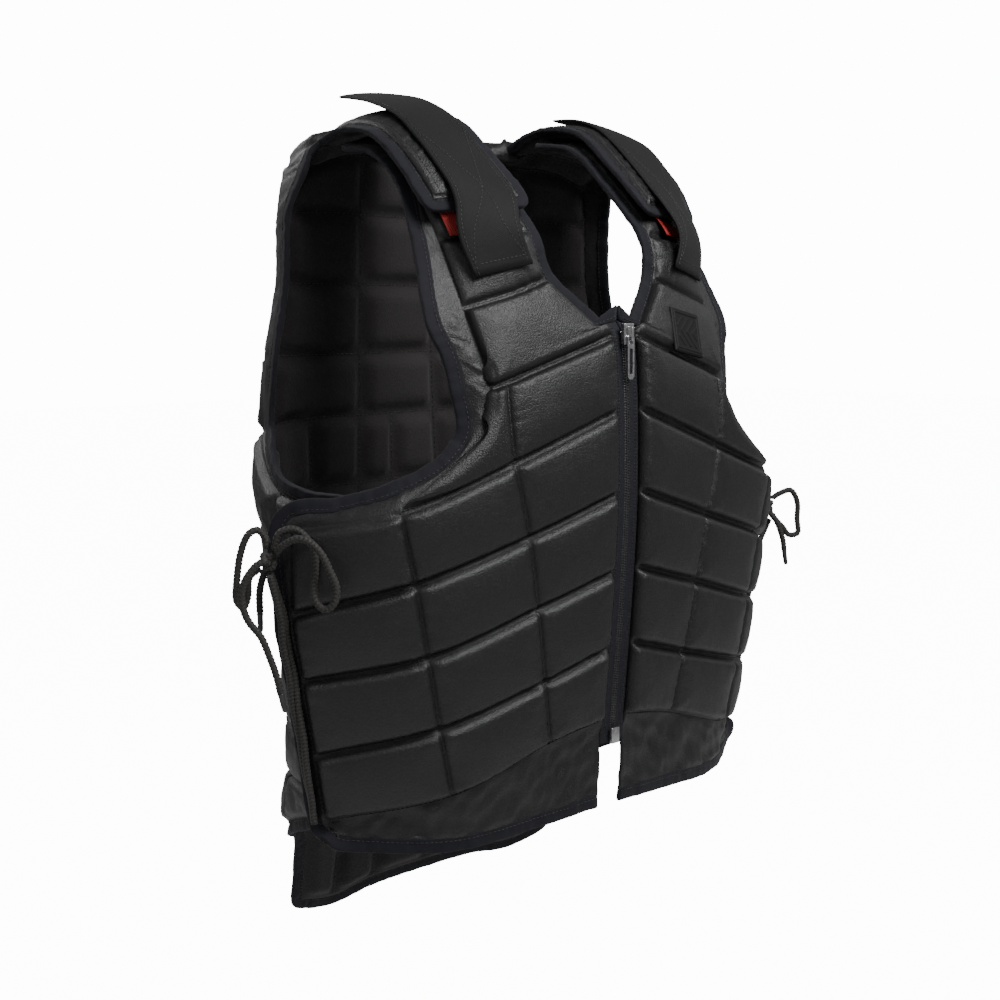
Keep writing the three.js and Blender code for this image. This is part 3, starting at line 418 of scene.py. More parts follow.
def aglet(name, start, direction):
    """A moulded tip: a tapered round rod with a rolled collar and a rounded end."""
    direction = unit(np.asarray(direction, float))
    places = np.array([0.0, 0.02, 0.06, 0.1, 0.14, 0.8, 0.92, 0.98, 1.0]) * AGLET_LENGTH
    radii = np.array([0.8, 1.0, 1.06, 1.0, 0.92, 0.86, 0.78, 0.55, 0.2]) * AGLET / 2
    line = np.asarray(start) + places[:, None] * direction
    side = unit(np.cross(direction, (0.2, 0.9, 0.1)))
    lift = np.cross(direction, side)
    angle = np.linspace(0, 2 * math.pi, 20, endpoint=False)
    ring = side * np.cos(angle)[:, None] + lift * np.sin(angle)[:, None]
    points = line[:, None, :] + ring[None] * radii[:, None, None]
    made = make_mesh(name, points.reshape(-1, 3), ring_faces(len(line), 20), [tip_paint])
    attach(made, "vest")
    return made


def from_knot(side, points, ends):
    """The route with its first point, or both, seated just clear of the knot."""
    middle = np.array(KNOTS[side]) * MM
    route = np.array(points, float) * MM
    clear = KNOT / 2 + GAP

    def seat(p):
        return middle + unit(p - middle) * clear

    last = [seat(route[-1])] if ends == 2 else []
    return np.vstack([[seat(route[0])], route, *[[p] for p in last]])


for name, points in LOOPS.items():
    line = smooth_line(from_knot(name.split("_")[0], points, 2), BRAID_STEP)
    loop = braided_cord(f"lace_loop_{name}_cord", line, LACE / 2, lace_paint)
    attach(loop, "vest")
    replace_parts(loop, f"lace_loop_{name}")
for name, points in TAILS.items():
    line = smooth_line(from_knot(name.split("_")[0], points, 1), BRAID_STEP)
    tail_end = np.array(points[-1]) * MM
    tip_run = tail_end - np.array(points[-2]) * MM
    tip = aglet(f"lace_tip_{name}", tail_end + unit(tip_run) * GAP, tip_run)
    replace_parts(tip, f"lace_aglet_{name}")
    cord = braided_cord(f"lace_tail_{name}_cord", line, LACE / 2, lace_paint)
    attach(cord, "vest")
    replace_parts(cord, f"lace_tail_{name}")
for side, middle in KNOTS.items():
    t = np.linspace(0, 2 * math.pi, 120)
    wound = [np.sin(t) + 2 * np.sin(2 * t), 0.9 * np.sin(3 * t), np.cos(t) - 2 * np.cos(2 * t)]
    wound = np.stack(wound, 1)
    wound = wound * (KNOT / 2 - 0.45 * LACE) / 3 + np.array(middle) * MM
    knot = braided_cord(f"lace_knot_{side}_tied", wound, LACE * 0.48, lace_paint)
    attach(knot, "vest")
    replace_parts(knot, f"lace_knot_{side}")

# Padded shells: closed-cell foam blocks quilted between an outer satin nylon and a dark lining, sewn
# through along every groove. The two fronts and the back are one sewn shell each, hollow for the body.
HALF_WIDTH = 230
DEPTH = 128
LENGTH = 490
TAIL_DROP = 122
ZIP_HALF = 12
SEAM_HALF = 2.5
EDGE_HALF = 1.5
PAD_OUT = 5.5
PAD_IN = 6.5
PAD_CROWN = 1.2
FLAP_WALL = 10
TONGUE_WALL = 9
SHOULDER_GAP = 3.5
TAPE_GAP = 0.3
BINDING_WIDTH = 9
INSET = BINDING_WIDTH + TAPE_GAP
GROOVE_ROUND = 4.4
GROOVE_FLAT = 1.9
PINCH_ROUND = 4.6
PINCH_DEPTH = 0.55
PINCH_FLAT = 0.5
FOAM_CROWN = 2.6
CHAMFER = 9.0
LEFT = np.array([1.0, 1.0, 1.0])
RIGHT = np.array([-1.0, 1.0, 1.0])


def at(spot):
    """Hundredths of half width, depth and length as millimetres; the tail has its own drop."""
    across, back, up = spot
    x = ZIP_HALF if across is None else across * HALF_WIDTH / 100
    z = up * LENGTH / 100 if up >= -100 else -LENGTH + (up + 100) / 100 * TAIL_DROP
    return np.array([x, back * DEPTH / 100, z], float)


SADDLE = [
    ((26, 54, 3.5), (63, 37, 0)),
    ((26, 24, 5), (62.5, 14, 1.5)),
    ((26, -9, 3.5), (61, -11, 0.5)),
    ((25.5, -37, -2), (60, -32, -3.5)),
    ((25, -61, -7.5), (58.5, -46, -8)),
    ((25, -70, -10), (57, -53, -11)),
]
SADDLE_SHARES = (0, 0.25, 0.6, 1)
FRONT_TOP = [
    ((24, -68, -13.5), (40, -64, -14), (53, -51, -15), (60, -44, -13.5)),
    ((21, -76, -20), (37.5, -76, -22.5), (52, -69, -24.5), (64.5, -66, -25.5)),
    ((None, -90, -26.5), (42, -83, -30), (50.5, -79, -30.5), (61.5, -72, -30)),
    ((None, -95, -28.5), (44.5, -87, -34.5), (48, -85.5, -35), (60, -75.5, -34.5)),
    ((None, -97, -34), (45, -90, -40), (54.5, -87, -42), (60, -79, -42)),
]
FRONT_LOW = [
    ((None, -98, -39), (44, -91, -45.5), (79, -77.5, -51), (100, -36, -53.5), (103.5, -29, -51.5)),
    ((None, -98, -51), (38.5, -91, -56), (74, -76.5, -61), (101.5, -37, -65), (105.5, -31, -65)),
    ((None, -95.5, -62.5), (34.5, -89.5, -66.5), (69.5, -75.5, -71.5), (98, -35.5, -74.5),
     (101.5, -28.5, -75)),
    ((None, -91.5, -74), (30.5, -86.5, -77.5), (65, -74, -82), (94, -34, -85.5), (97.5, -26.5, -85.5)),
    ((None, -87, -85.5), (27, -83, -87.5), (60, -72, -92.5), (90, -32.5, -95.5), (93.5, -24.5, -95.5)),
    ((None, -83, -99.8), (25, -81, -100), (58.5, -71, -100.6), (87, -39, -98.5), (91.5, -29, -96)),
]
FRONT_TOP_RIM = (76, -71, -47)
FRONT_ARM_RIM = (90.5, -49, -49.5)
BACK_TOP = [
    [(0, 68, 2.5)],
    [(0, 72, 0), (21, 70, 0), (35, 64, 0), (50, 61, -0.5), (65, 59, -3)],
    [(0, 79, -9), (18, 76, -9), (35, 69, -9), (52, 67.5, -9), (67.5, 64, -9.5)],
    [(0, 82, -20), (18, 79, -20), (35, 71, -20), (53.5, 68.5, -20), (68.5, 65, -20)],
    [(0, 83, -31), (18.5, 80.5, -31), (35, 73.5, -31), (55.5, 71, -31), (73.5, 64.5, -31)],
]
BACK_TOP_RIMS = [(65, 35, 0), (67, 37, -4), (70.5, 45.5, -10), (71.5, 47, -20), (76, 47, -31)]
BACK_ARM_RIMS = [(78, 49, -41.5), (85, 27, -45.5), (89, 4, -48), (88, -22, -49.5), (83.5, -49, -50)]
BACK_LOW = [
    [(0, 82, -41), (19.5, 80, -41), (35, 75, -41), (56, 72, -41), (75.5, 62, -42.5), (88, 8, -50),
     (83, -48, -52)],
    [(0, 79, -52), (20.5, 77.5, -52), (36.5, 73.5, -52), (58.5, 66, -52), (78, 50, -53.5), (90, 0, -58),
     (83.5, -50, -59.5)],
    [(0, 73.5, -63), (21, 72, -63), (37.5, 67, -63), (59, 56, -63), (77, 37.5, -64), (88.5, -3, -67.5),
     (81.5, -50, -68.5)],
    [(0, 69, -74), (21.5, 67, -74), (38.5, 63, -74), (60, 53, -74), (76, 36, -74.5), (85.5, -4, -77),
     (78.5, -45, -77.5)],
    [(0, 70, -84.5), (22, 69, -84.5), (39, 65.5, -84.5), (61, 55.5, -84.5), (75, 37.5, -85),
     (82.5, -3, -86.5), (75.5, -42, -87)],
    [(0, 81, -95.5), (22.5, 80, -95.5), (40.5, 76, -95.5), (62, 62.5, -95.5), (74, 42, -95), (80, -2, -94.5),
     (72.5, -38, -94.5)],
    [(0, 92, -133), (23.5, 91.5, -133), (41.5, 87.5, -133), (64, 76, -135), (74, 49, -120), (78, 2, -101.5),
     (71, -36, -97.5)],
]
TAIL_END = [(0, 101, -198), (24, 101, -199), (42.5, 100, -203), (61, 94, -194)]


def surface(rows):
    """A smooth surface through rows of points: place(u, v) takes arrays of equal shape."""
    rows = [np.array(row, float) for row in rows]

    def place(u, v):
        shape = np.broadcast(u, v).shape
        u, v = (np.broadcast_to(np.asarray(k, float), shape).ravel() for k in (u, v))
        each = [curve_weights(len(row), np.clip(u, 0, len(row) - 1)) @ row for row in rows]
        down = curve_weights(len(rows), np.clip(v, 0, len(rows) - 1))
        return np.einsum("nr,rnk->nk", down, np.array(each)).reshape(*shape, 3)

    return place


saddle_rows = []
for inner, outer in SADDLE:
    row = [at(inner) * (1 - s) + at(outer) * s for s in SADDLE_SHARES]
    for s, point in zip(SADDLE_SHARES, row):
        point[2] += math.sin(math.pi * s) * PAD_CROWN * 2
    saddle_rows.append(row)
saddle = surface(saddle_rows)


def saddle_offset(u, v, distance):
    step = 0.05
    across = saddle(min(u + step, 3), v) - saddle(u - step, v)
    forward = saddle(u, min(v + step, 5)) - saddle(u, max(v - step, 0))
    return saddle(u, v) + unit(np.cross(forward, across)) * distance


TONGUE_ROWS = (1.0, 2.1, 3.2)
TONGUE_DROP = FLAP_WALL / 2 + SHOULDER_GAP + TONGUE_WALL / 2
front_top = surface(
    [[saddle_offset(u, v, -TONGUE_DROP) for u in (0, 1.6, 2.72)] for v in TONGUE_ROWS]
    + [[at(p) for p in row[:3]] for row in FRONT_TOP]
    + [[at(p) for p in FRONT_LOW[0][:4]]]
)
front_low = surface([[at(p) for p in row[:4]] for row in FRONT_LOW])
front_rims = np.array(
    [saddle_offset(3, v, -TONGUE_DROP) for v in TONGUE_ROWS]
    + [at(row[3]) for row in FRONT_TOP]
    + [at(FRONT_TOP_RIM), at(FRONT_ARM_RIM)]
    + [at(row[4]) for row in FRONT_LOW]
)
POCKET_ROW = 3
FOOT_ROW = 4
CORNER_ROW = 5
FIRST_ROW = 6
TOP_LAST = 8
LOW_LAST = 5
SKIRT_ROW = 4
NECK_INSET = INSET / (0.32 * HALF_WIDTH)
HEM_INSET = INSET / (0.13 * LENGTH)

back_low = surface([[at(p) for p in row] for row in BACK_LOW])
back_top = surface(
    [[at(BACK_TOP[0][0]), *saddle_rows[0]]]
    + [[at(p) for p in row] for row in BACK_TOP[1:]]
    + [[at(p) for p in BACK_LOW[0]]]
)
tail = surface([[at(p) for p in BACK_LOW[6][:4]], [at(p) for p in TAIL_END]])
back_rims = np.array([at(p) for p in BACK_TOP_RIMS + BACK_ARM_RIMS])
FLAP_SHARE = INSET / (0.1 * HALF_WIDTH)
FLAP_END = INSET / (0.04 * LENGTH)
BACK_TOP_LAST = 5
BACK_LOW_LAST = 6
TAIL_SIDE = 3


def close_set(cells, near, middle):
    """Places along a run of cells, closer together beside each groove."""
    ends = np.array(near)
    inside = np.linspace(ends[-1] * 1.35, 1 - ends[-1] * 1.35, middle)
    cell = np.concatenate([ends, inside, 1 - ends[::-1][:-1]])
    return np.concatenate([cell + k for k in range(cells)] + [[cells]])


def noise_along(x, seed):
    """Smooth random heights from -1 to 1 along a line."""
    table = np.random.default_rng(seed).uniform(-1, 1, 4096)
    i = np.floor(x).astype(int)
    f = x - i
    f = f * f * (3 - 2 * f)
    return table[i % 4096] * (1 - f) + table[(i + 1) % 4096] * f


def ripples(points, wave, seed, squeeze=(1, 1, 1)):
    """Random soft ripples over points in millimetres, about -1 to 1, of this wave length."""
    rng = np.random.default_rng(seed)
    total = np.zeros(points.shape[:-1])
    for _ in range(9):
        direction = unit(rng.normal(size=3)) * rng.uniform(0.6, 1.5) / wave * np.array(squeeze)
        sway = points @ (unit(rng.normal(size=3)) * 0.35 / wave)
        bend = 0.8 * np.sin(2 * math.pi * sway + rng.uniform(0, 6))
        total += np.sin(2 * math.pi * (points @ direction) + rng.uniform(0, 6.28) + bend)
    return total / 4.5


def round_rise(d, flat=GROOVE_FLAT, radius=GROOVE_ROUND):
    t = np.clip((d - flat) / radius, 0, 1)
    return np.sqrt(1 - (1 - t) ** 2)


def chamfer_rise(d):
    t = np.clip((d - GROOVE_FLAT) / CHAMFER, 0, 1)
    return t * t * (3 - 2 * t) * 0.35 + t * 0.65


class Shell:
    """A quilted shell under construction: its middle surface in grids, with two half walls."""

    def __init__(self):
        self.points, self.out, self.inn, self.uv, self.free, self.faces = [], [], [], [], [], []
        self.count = 0

    def grid(self, points, out, inn, uv, free, flip):
        rows, columns = points.shape[:2]
        ids = np.arange(rows * columns).reshape(rows, columns) + self.count
        self.points.append(points.reshape(-1, 3))
        self.out.append(np.broadcast_to(out, (rows, columns)).ravel())
        self.inn.append(np.broadcast_to(inn, (rows, columns)).ravel())
        self.uv.append(uv.reshape(-1, 2))
        self.free.append(np.broadcast_to(free, (rows, columns)).ravel())
        self.count += rows * columns
        quads = np.stack([ids[:-1, :-1], ids[1:, :-1], ids[1:, 1:], ids[:-1, 1:]], -1).reshape(-1, 4)
        self.faces.append(quads[:, ::-1] if flip else quads)
        return ids

    def weld(self):
        """Joins the grids where they meet and finds the middle surface's normals."""
        points = np.concatenate(self.points)
        keys = np.round(points * 50).astype(np.int64)
        _, first, same = np.unique(keys, axis=0, return_index=True, return_inverse=True)
        self.of = same.ravel()
        self.mid = points[first]
        self.wall_out = np.full(len(first), np.inf)
        self.wall_in = np.full(len(first), np.inf)
        np.minimum.at(self.wall_out, self.of, np.concatenate(self.out))
        np.minimum.at(self.wall_in, self.of, np.concatenate(self.inn))
        self.cloth_uv = np.concatenate(self.uv)[first]
        self.free_cloth = np.full(len(first), np.inf)
        np.minimum.at(self.free_cloth, self.of, np.concatenate(self.free))
        quads = self.of[np.concatenate(self.faces)]
        self.rings = []
        for quad in quads.tolist():
            ring = [p for k, p in enumerate(quad) if p != quad[k - 1]]
            if len(set(ring)) > 2:
                self.rings.append(ring)
        cross = np.cross(
            self.mid[quads[:, 2]] - self.mid[quads[:, 0]], self.mid[quads[:, 3]] - self.mid[quads[:, 1]]
        )
        self.normal = np.zeros_like(self.mid)
        for k in range(4):
            np.add.at(self.normal, quads[:, k], cross)
        at_zip = np.abs(np.abs(self.mid[:, 0]) - ZIP_HALF) < 1e-3
        self.normal[at_zip, 0] = 0
        self.normal = unit(self.normal)

    def skins(self):
        """Points and faces of the closed solid, and for each face whether it is the lining."""
        n = len(self.mid)
        outer = self.mid + self.normal * self.wall_out[:, None]
        inner = self.mid - self.normal * self.wall_in[:, None]
        faces = list(self.rings)
        faces += [[p + n for p in reversed(ring)] for ring in self.rings]
        lining = [0] * len(self.rings) + [1] * len(self.rings)
        edges = {}
        for ring in self.rings:
            for k, p in enumerate(ring):
                q = ring[(k + 1) % len(ring)]
                if (q, p) in edges:
                    del edges[(q, p)]
                else:
                    edges[(p, q)] = True
        for p, q in edges:
            faces.append([p, p + n, q + n, q])
            lining.append(0)
        return np.vstack([outer, inner]), faces, lining


def lengths(points):
    """How far each grid point is along its row and along its column."""
    across = np.linalg.norm(np.diff(points, axis=1), axis=2)
    down = np.linalg.norm(np.diff(points, axis=0), axis=2)
    run = np.concatenate([np.zeros((len(points), 1)), np.cumsum(across, 1)], 1)
    fall = np.concatenate([np.zeros((1, points.shape[1])), np.cumsum(down, 0)], 0)
    return run, fall


def quilted(points, us, vs, upright, level, seed, shallow=()):
    """Outer rise, lining rise, belly, puckers, UV and free cloth of a grid of blocks. upright lists
    (u, first v, last v) of the grooves that run down, level lists (v, first u, last u) of those that
    run across, and shallow those that run down but are only pinched in."""
    run, fall = lengths(points)
    beside, pinched, above = (np.full(run.shape, 1e3) for _ in range(3))
    for seams, nearest in ((upright, beside), (shallow, pinched)):
        for u, first, last in seams:
            column = int(np.argmin(np.abs(us - u)))
            away = np.abs(run - run[:, column : column + 1])
            away = np.where(((vs >= first) & (vs <= last))[:, None], away, 1e3)
            np.minimum(nearest, away, out=nearest)
    for v, first, last in level:
        row = int(np.argmin(np.abs(vs - v)))
        away = np.abs(fall - fall[row : row + 1])
        away = np.where(((us >= first) & (us <= last))[None, :], away, 1e3)
        above = np.minimum(above, away)
    pinch = 1 - PINCH_DEPTH * (1 - round_rise(pinched, PINCH_FLAT, PINCH_ROUND))
    rise = round_rise(beside, PINCH_FLAT, PINCH_ROUND) * round_rise(above) * pinch
    beside = np.minimum(beside, pinched)
    under = chamfer_rise(beside) * chamfer_rise(above)
    free = np.clip((np.minimum(beside, above) - 2) / 7, 0, 1)
    belly = np.clip(np.minimum(beside, above) / 26, 0, 1)
    crown = belly * (2 - belly)
    pucker = noise_along(run / 3.8, seed) * np.exp(-above / 5) * 0.5
    pucker += noise_along(fall / 3.2, seed + 1) * np.exp(-beside / 5) * 0.75
    corner = np.exp(-(above + beside) / 14)
    pucker += ripples(points, 7.5, seed + 2) * corner * 1.4
    drape = ripples(points, 42, seed + 3) * 0.22 + ripples(points, 15, seed + 4) * 0.05
    uv = np.stack([run, fall], -1) * MM
    near = np.clip(np.minimum(beside, above) / 2.2, 0, 1)
    return rise, under, crown, pucker * near + drape * rise, uv, free


nylon_paint, nylon_tree, nylon_shader = new_paint("satin_nylon", (0.018, 0.018, 0.02), 0.4)
nylon_cloud = noise(nylon_tree, 22.0, 5.0, Roughness=0.6)
nylon_crease = noise(nylon_tree, 95.0, 4.0, Roughness=0.55, Distortion=0.6)
nylon_grain = noise(nylon_tree, 1000.0, 2.0)
nylon_threads = add_group(nylon_tree, weave_group, Threads=9000.0, Slant=0.5)
tone(nylon_tree, nylon_shader, nylon_cloud, "Fac", (0.004, 0.004, 0.0046), (0.0095, 0.0095, 0.0104))
gloss(nylon_tree, nylon_shader, nylon_grain, 0.36, 0.52)
bump_chain(
    nylon_tree,
    nylon_shader,
    [
        (nylon_crease, "Fac", 0.08, 0.0014),
        (nylon_grain, "Fac", 0.8, 0.0006),
        (nylon_threads, "Height", 0.15, 0.0001),
    ],
)
nylon_shader.inputs["Sheen Weight"].default_value = 0.02
nylon_shader.inputs["Specular IOR Level"].default_value = 0.5
nylon_shader.inputs["Sheen Roughness"].default_value = 0.35

lining_paint, lining_tree, lining_shader = new_paint("mesh_lining", (0.02, 0.018, 0.018), 0.8)
lining_coords = node(lining_tree, "ShaderNodeTexCoord")
lining_cloud = node(lining_tree, "ShaderNodeTexNoise", Scale=16.0, Detail=5.0, Roughness=0.6)
lining_holes = node(lining_tree, "ShaderNodeTexVoronoi", Scale=620.0)
for pattern in (lining_cloud, lining_holes):
    link(lining_tree, lining_coords, "Object", pattern, "Vector")
tone(lining_tree, lining_shader, lining_cloud, "Fac", (0.013, 0.0115, 0.0115), (0.027, 0.0235, 0.0235))
bump_chain(
    lining_tree, lining_shader,
    [(lining_cloud, "Fac", 0.3, 0.003), (lining_holes, "Distance", 0.5, 0.0006)],
)
lining_shader.inputs["Sheen Weight"].default_value = 0.06
lining_shader.inputs["Specular IOR Level"].default_value = 0.25
lining_shader.inputs["Sheen Roughness"].default_value = 0.6

FRONT_NEAR = (0, 0.014, 0.03, 0.05, 0.075, 0.105)
FRONT_NEAR_DOWN = (0, 0.02, 0.045, 0.075, 0.11, 0.15)
front_us = close_set(3, FRONT_NEAR, 20)
front_vs = close_set(8, FRONT_NEAR_DOWN, 12)
top_us = front_us[front_us <= 2]
low_vs = front_vs[front_vs <= LOW_LAST]

front = Shell()


def place_front_top(u, v):
    inset = NECK_INSET * np.clip((CORNER_ROW + 0.5 - v) / 0.5, 0, 1)
    point = front_top(u + inset * (1 - u / 2), v)
    point[..., 0] = np.maximum(point[..., 0], ZIP_HALF)
    return point


def place_front_low(u, v):
    return front_low(u, v - HEM_INSET * np.clip(v - SKIRT_ROW, 0, 1))


def front_top_grid():
    u, v = np.meshgrid(top_us, front_vs)
    points = place_front_top(u, v)
    rise, under, crown, pucker, uv, free = quilted(
        points,
        top_us,
        front_vs,
        [(0, 0, 8), (2, 0, 8)],
        [(k, 0, 2) for k in (0, POCKET_ROW, FOOT_ROW, FIRST_ROW, TOP_LAST)],
        11,
        [(1, FIRST_ROW, 8)],
    )
    halfway = points[:, int(np.argmin(np.abs(top_us - 1)))]
    narrow = np.linalg.norm(points[:, -1] - halfway, axis=1)[:, None]
    pucker = pucker * np.where(u > 1, np.clip(narrow / 60, 0, 1) ** 2, 1)
    tongue = v <= POCKET_ROW
    foot = (v > POCKET_ROW) & (v <= FOOT_ROW)
    full_out = np.where(tongue, TONGUE_WALL / 2 - SEAM_HALF, np.where(foot, PAD_OUT * 0.45, PAD_OUT))
    full_in = np.where(tongue, TONGUE_WALL / 2 - SEAM_HALF, PAD_IN)
    out = SEAM_HALF + rise * (full_out + crown * FOAM_CROWN) + pucker
    inn = SEAM_HALF + under * full_in + 0.3 * pucker
    return front.grid(points, np.maximum(out, 1.2), np.maximum(inn, 1.2), uv, free, False)


def front_low_grid():
    u, v = np.meshgrid(front_us, low_vs)
    points = place_front_low(u, v)
    rise, under, crown, pucker, uv, free = quilted(
        points,
        front_us,
        low_vs,
        [(0, 0, SKIRT_ROW), (3, 0, SKIRT_ROW)],
        [(k, 0, 3) for k in range(SKIRT_ROW + 1)],
        31,
        [(1, 0, SKIRT_ROW), (2, 0, SKIRT_ROW)],
    )
    skirt = v > SKIRT_ROW
    hang = np.clip(v - SKIRT_ROW, 0, 1)
    run, fall = lengths(points)
    folds = noise_along(run / 11 + 0.05 * fall, 43) * 1.9 * (1 - 0.6 * hang)
    folds = (folds + ripples(points, 15, 44) * 1.3) * np.clip(hang * 6, 0, 1)
    plain = EDGE_HALF + (SEAM_HALF - EDGE_HALF) * np.clip(1 - 3 * hang, 0, 1)
    out = np.where(skirt, plain + folds, SEAM_HALF + rise * (PAD_OUT + crown * FOAM_CROWN) + pucker)
    inn = np.where(skirt, plain - folds, SEAM_HALF + under * PAD_IN + 0.3 * pucker)
    uv[..., 1] += 0.3
    edge = np.clip((1 - hang) * 8, 0, 1)
    inn = np.where(skirt, EDGE_HALF + (inn - EDGE_HALF) * edge, inn)
    out = np.where(skirt, EDGE_HALF + (out - EDGE_HALF) * edge, out)
    return front.grid(points, out, inn, uv, np.where(skirt, 0, free), False)


def curve_at(points, t):
    return curve_weights(len(points), np.clip(t, 0, len(points) - 1)) @ points


def strip_grid(shell, inner, rims_at, last_meets, flip, seed, puff):
    """The unpadded cloth between a row of block edges and the rim, gathered into the binding."""
    reach = np.linalg.norm(rims_at - inner, axis=1)
    share = np.maximum(1 - INSET / np.maximum(reach, 1e-6), 0.12)
    if last_meets:
        share[-1] = 0
    rims = inner + (rims_at - inner) * share[:, None]
    across = np.linspace(0, 1, 10)
    points = inner[:, None] + (rims - inner)[:, None] * across[None, :, None]
    run = reach_of(inner)
    width = np.linalg.norm(rims - inner, axis=1)[:, None]
    hump = np.sin(math.pi * across)[None, :] ** 1.4 * np.clip(width / 30, 0, 1)
    creases = (1 - 2 * np.abs(noise_along(run[:, None] / 8 + 1.6 * across[None, :], seed))) * 1.0
    creases = creases + ripples(points, 10, seed + 1) * 0.8
    lift = creases * hump + hump * puff[:, None]
    half = SEAM_HALF + (EDGE_HALF - SEAM_HALF) * across[None, :]
    uv = np.stack([np.repeat(run[:, None], 10, 1), across[None, :] * width], -1) * MM
    ids = shell.grid(points, half + lift, np.maximum(half - 0.7 * creases * hump, 0.7), uv, 0.0, flip)
    return ids


top_ids = front_top_grid()
low_ids = front_low_grid()
side_us = front_us[front_us > 2]
front_inner = np.vstack(
    [
        place_front_top(np.full(len(front_vs), 2.0), front_vs),
        place_front_low(side_us, np.zeros(len(side_us))),
        place_front_low(np.full(len(low_vs) - 1, 3.0), low_vs[1:]),
    ]
)
front_stations = np.concatenate([front_vs, TOP_LAST + (side_us - 2) * 2, TOP_LAST + 2 + low_vs[1:]])
arm_puff = 2.2 * np.exp(-(((front_stations - 6.8) / 1.4) ** 2)) + 1.2
strip_ids = strip_grid(
    front, front_inner, curve_at(front_rims, front_stations), True, False, 61, arm_puff
)
front.weld()
front_rim_ids = front.of[strip_ids[:, -1]]
front_chain = np.concatenate(
    [
        front.of[top_ids[front_vs <= CORNER_ROW, 0]][::-1],
        front.of[top_ids[0]],
        front_rim_ids,
        front.of[low_ids[-1]][::-1],
    ]
)
below_arm = (front_stations > TOP_LAST + 2.9) & (front_stations <= TOP_LAST + 2 + SKIRT_ROW)
front_side_ids = front_rim_ids[below_arm]


PRESSED_MOST = 2.6
CLOTH = {
    "quality": 4, "mass": 0.25, "tension_stiffness": 12, "compression_stiffness": 12,
    "shear_stiffness": 4, "bending_stiffness": 0.6, "shrink_min": -0.018, "shrink_max": -0.018,
    "use_pressure": True, "uniform_pressure_force": 0.35, "pin_stiffness": 3,
}


def blown_up(piece, free, steps=8):
    """Presses the free cloth of a shell outwards for a moment, as foam does, and keeps the creases."""
    group = piece.vertex_groups.new(name="sewn")
    weights = 1 - free
    for level in np.unique(np.round(weights, 1)):
        chosen = np.nonzero(np.round(weights, 1) == level)[0].tolist()
        if level > 0:
            group.add(chosen, float(level), "REPLACE")
    before = np.zeros(len(piece.data.vertices) * 3)
    piece.data.vertices.foreach_get("co", before)
    cloth = piece.modifiers.new("cloth", "CLOTH")
    settings = cloth.settings
    for key, value in CLOTH.items():
        setattr(settings, key, value)
    settings.vertex_group_mass = "sewn"
    settings.effector_weights.gravity = 0
    cloth.collision_settings.use_collision = False
    scene = bpy.context.scene
    for frame_number in range(1, steps + 1):
        scene.frame_set(frame_number)
    graph = bpy.context.evaluated_depsgraph_get()
    settled = piece.evaluated_get(graph)
    after = np.zeros_like(before)
    settled.data.vertices.foreach_get("co", after)
    piece.modifiers.remove(cloth)
    scene.frame_set(1)
    moved = (after - before).reshape(-1, 3)
    far = np.linalg.norm(moved, axis=1, keepdims=True)
    moved = moved * np.minimum(1, PRESSED_MOST * MM / np.maximum(far, 1e-9)) * free[:, None]
    piece.data.vertices.foreach_set("co", (before.reshape(-1, 3) + moved).ravel())
    piece.data.update()
    piece.vertex_groups.clear()


def shell_piece(name, shell, sign):
    points, faces, lining = shell.skins()
    points = points * sign * MM
    if sign[0] < 0:
        faces = [face[::-1] for face in faces]
    piece = make_mesh(
        name, points, faces, [nylon_paint, lining_paint],
        uv=np.vstack([shell.cloth_uv, shell.cloth_uv]), paint_of=lining,
    )
    blown_up(piece, np.concatenate([shell.free_cloth, np.zeros(len(shell.mid))]))
    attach(piece, "vest")
    return piece


for side, sign in (("right", RIGHT), ("left", LEFT)):
    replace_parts(shell_piece(f"front_shell_{side}", front, sign), f"front_panel_{side}")

BACK_NEAR = (0, 0.03, 0.07, 0.12)
BACK_NEAR_DOWN = (0, 0.04, 0.09, 0.15)
back_us = close_set(6, BACK_NEAR, 10)
back_vs = close_set(6, BACK_NEAR_DOWN, 8)
back_top_us = back_us[back_us <= 4]
back_top_vs = back_vs[back_vs <= BACK_TOP_LAST]
flap_us = back_us[(back_us >= 1) & (back_us <= 4)]
flap_vs = back_vs[back_vs <= 5]
tail_us = back_us[back_us <= TAIL_SIDE]
tail_vs = np.linspace(0, 1, 30)


def share(start, end):
    return INSET / np.linalg.norm(end - start, axis=-1)


def flap_column(u):
    return u + np.where(u < 2, FLAP_SHARE * (2 - u), 0) - np.where(u > 3, FLAP_SHARE * 0.6 * (u - 3), 0)


def place_back_top(u, v):
    neck_u = np.where(u < 1, u * flap_column(np.array(1.0)), flap_column(u))
    neck = back_top(neck_u, 0.7 * np.clip(2 - u, 0, 1))
    blend = np.clip(v / 0.3, 0, 1)[..., None]
    return neck * (1 - blend) + back_top(u, v) * blend


def place_flap(u, v):
    on_flap = saddle(flap_column(u) - 1, v - FLAP_END * np.clip(v - 4, 0, 1))
    start = place_back_top(u, np.zeros_like(u))
    blend = np.clip(v / 0.15, 0, 1)[..., None]
    return start * (1 - blend) + on_flap * blend


def place_back_low(u, v):
    end = share(back_low(np.full_like(u, 5.0), v), back_low(np.full_like(u, 6.0), v))
    hem = share(back_low(u, np.full_like(v, 5.0)), back_low(u, np.full_like(v, 6.0)))
    hem = hem * np.clip(u - 2, 0, 1)
    return back_low(np.where(u > 5, u - end * (u - 5), u), v - hem * np.maximum(v - 5, 0))


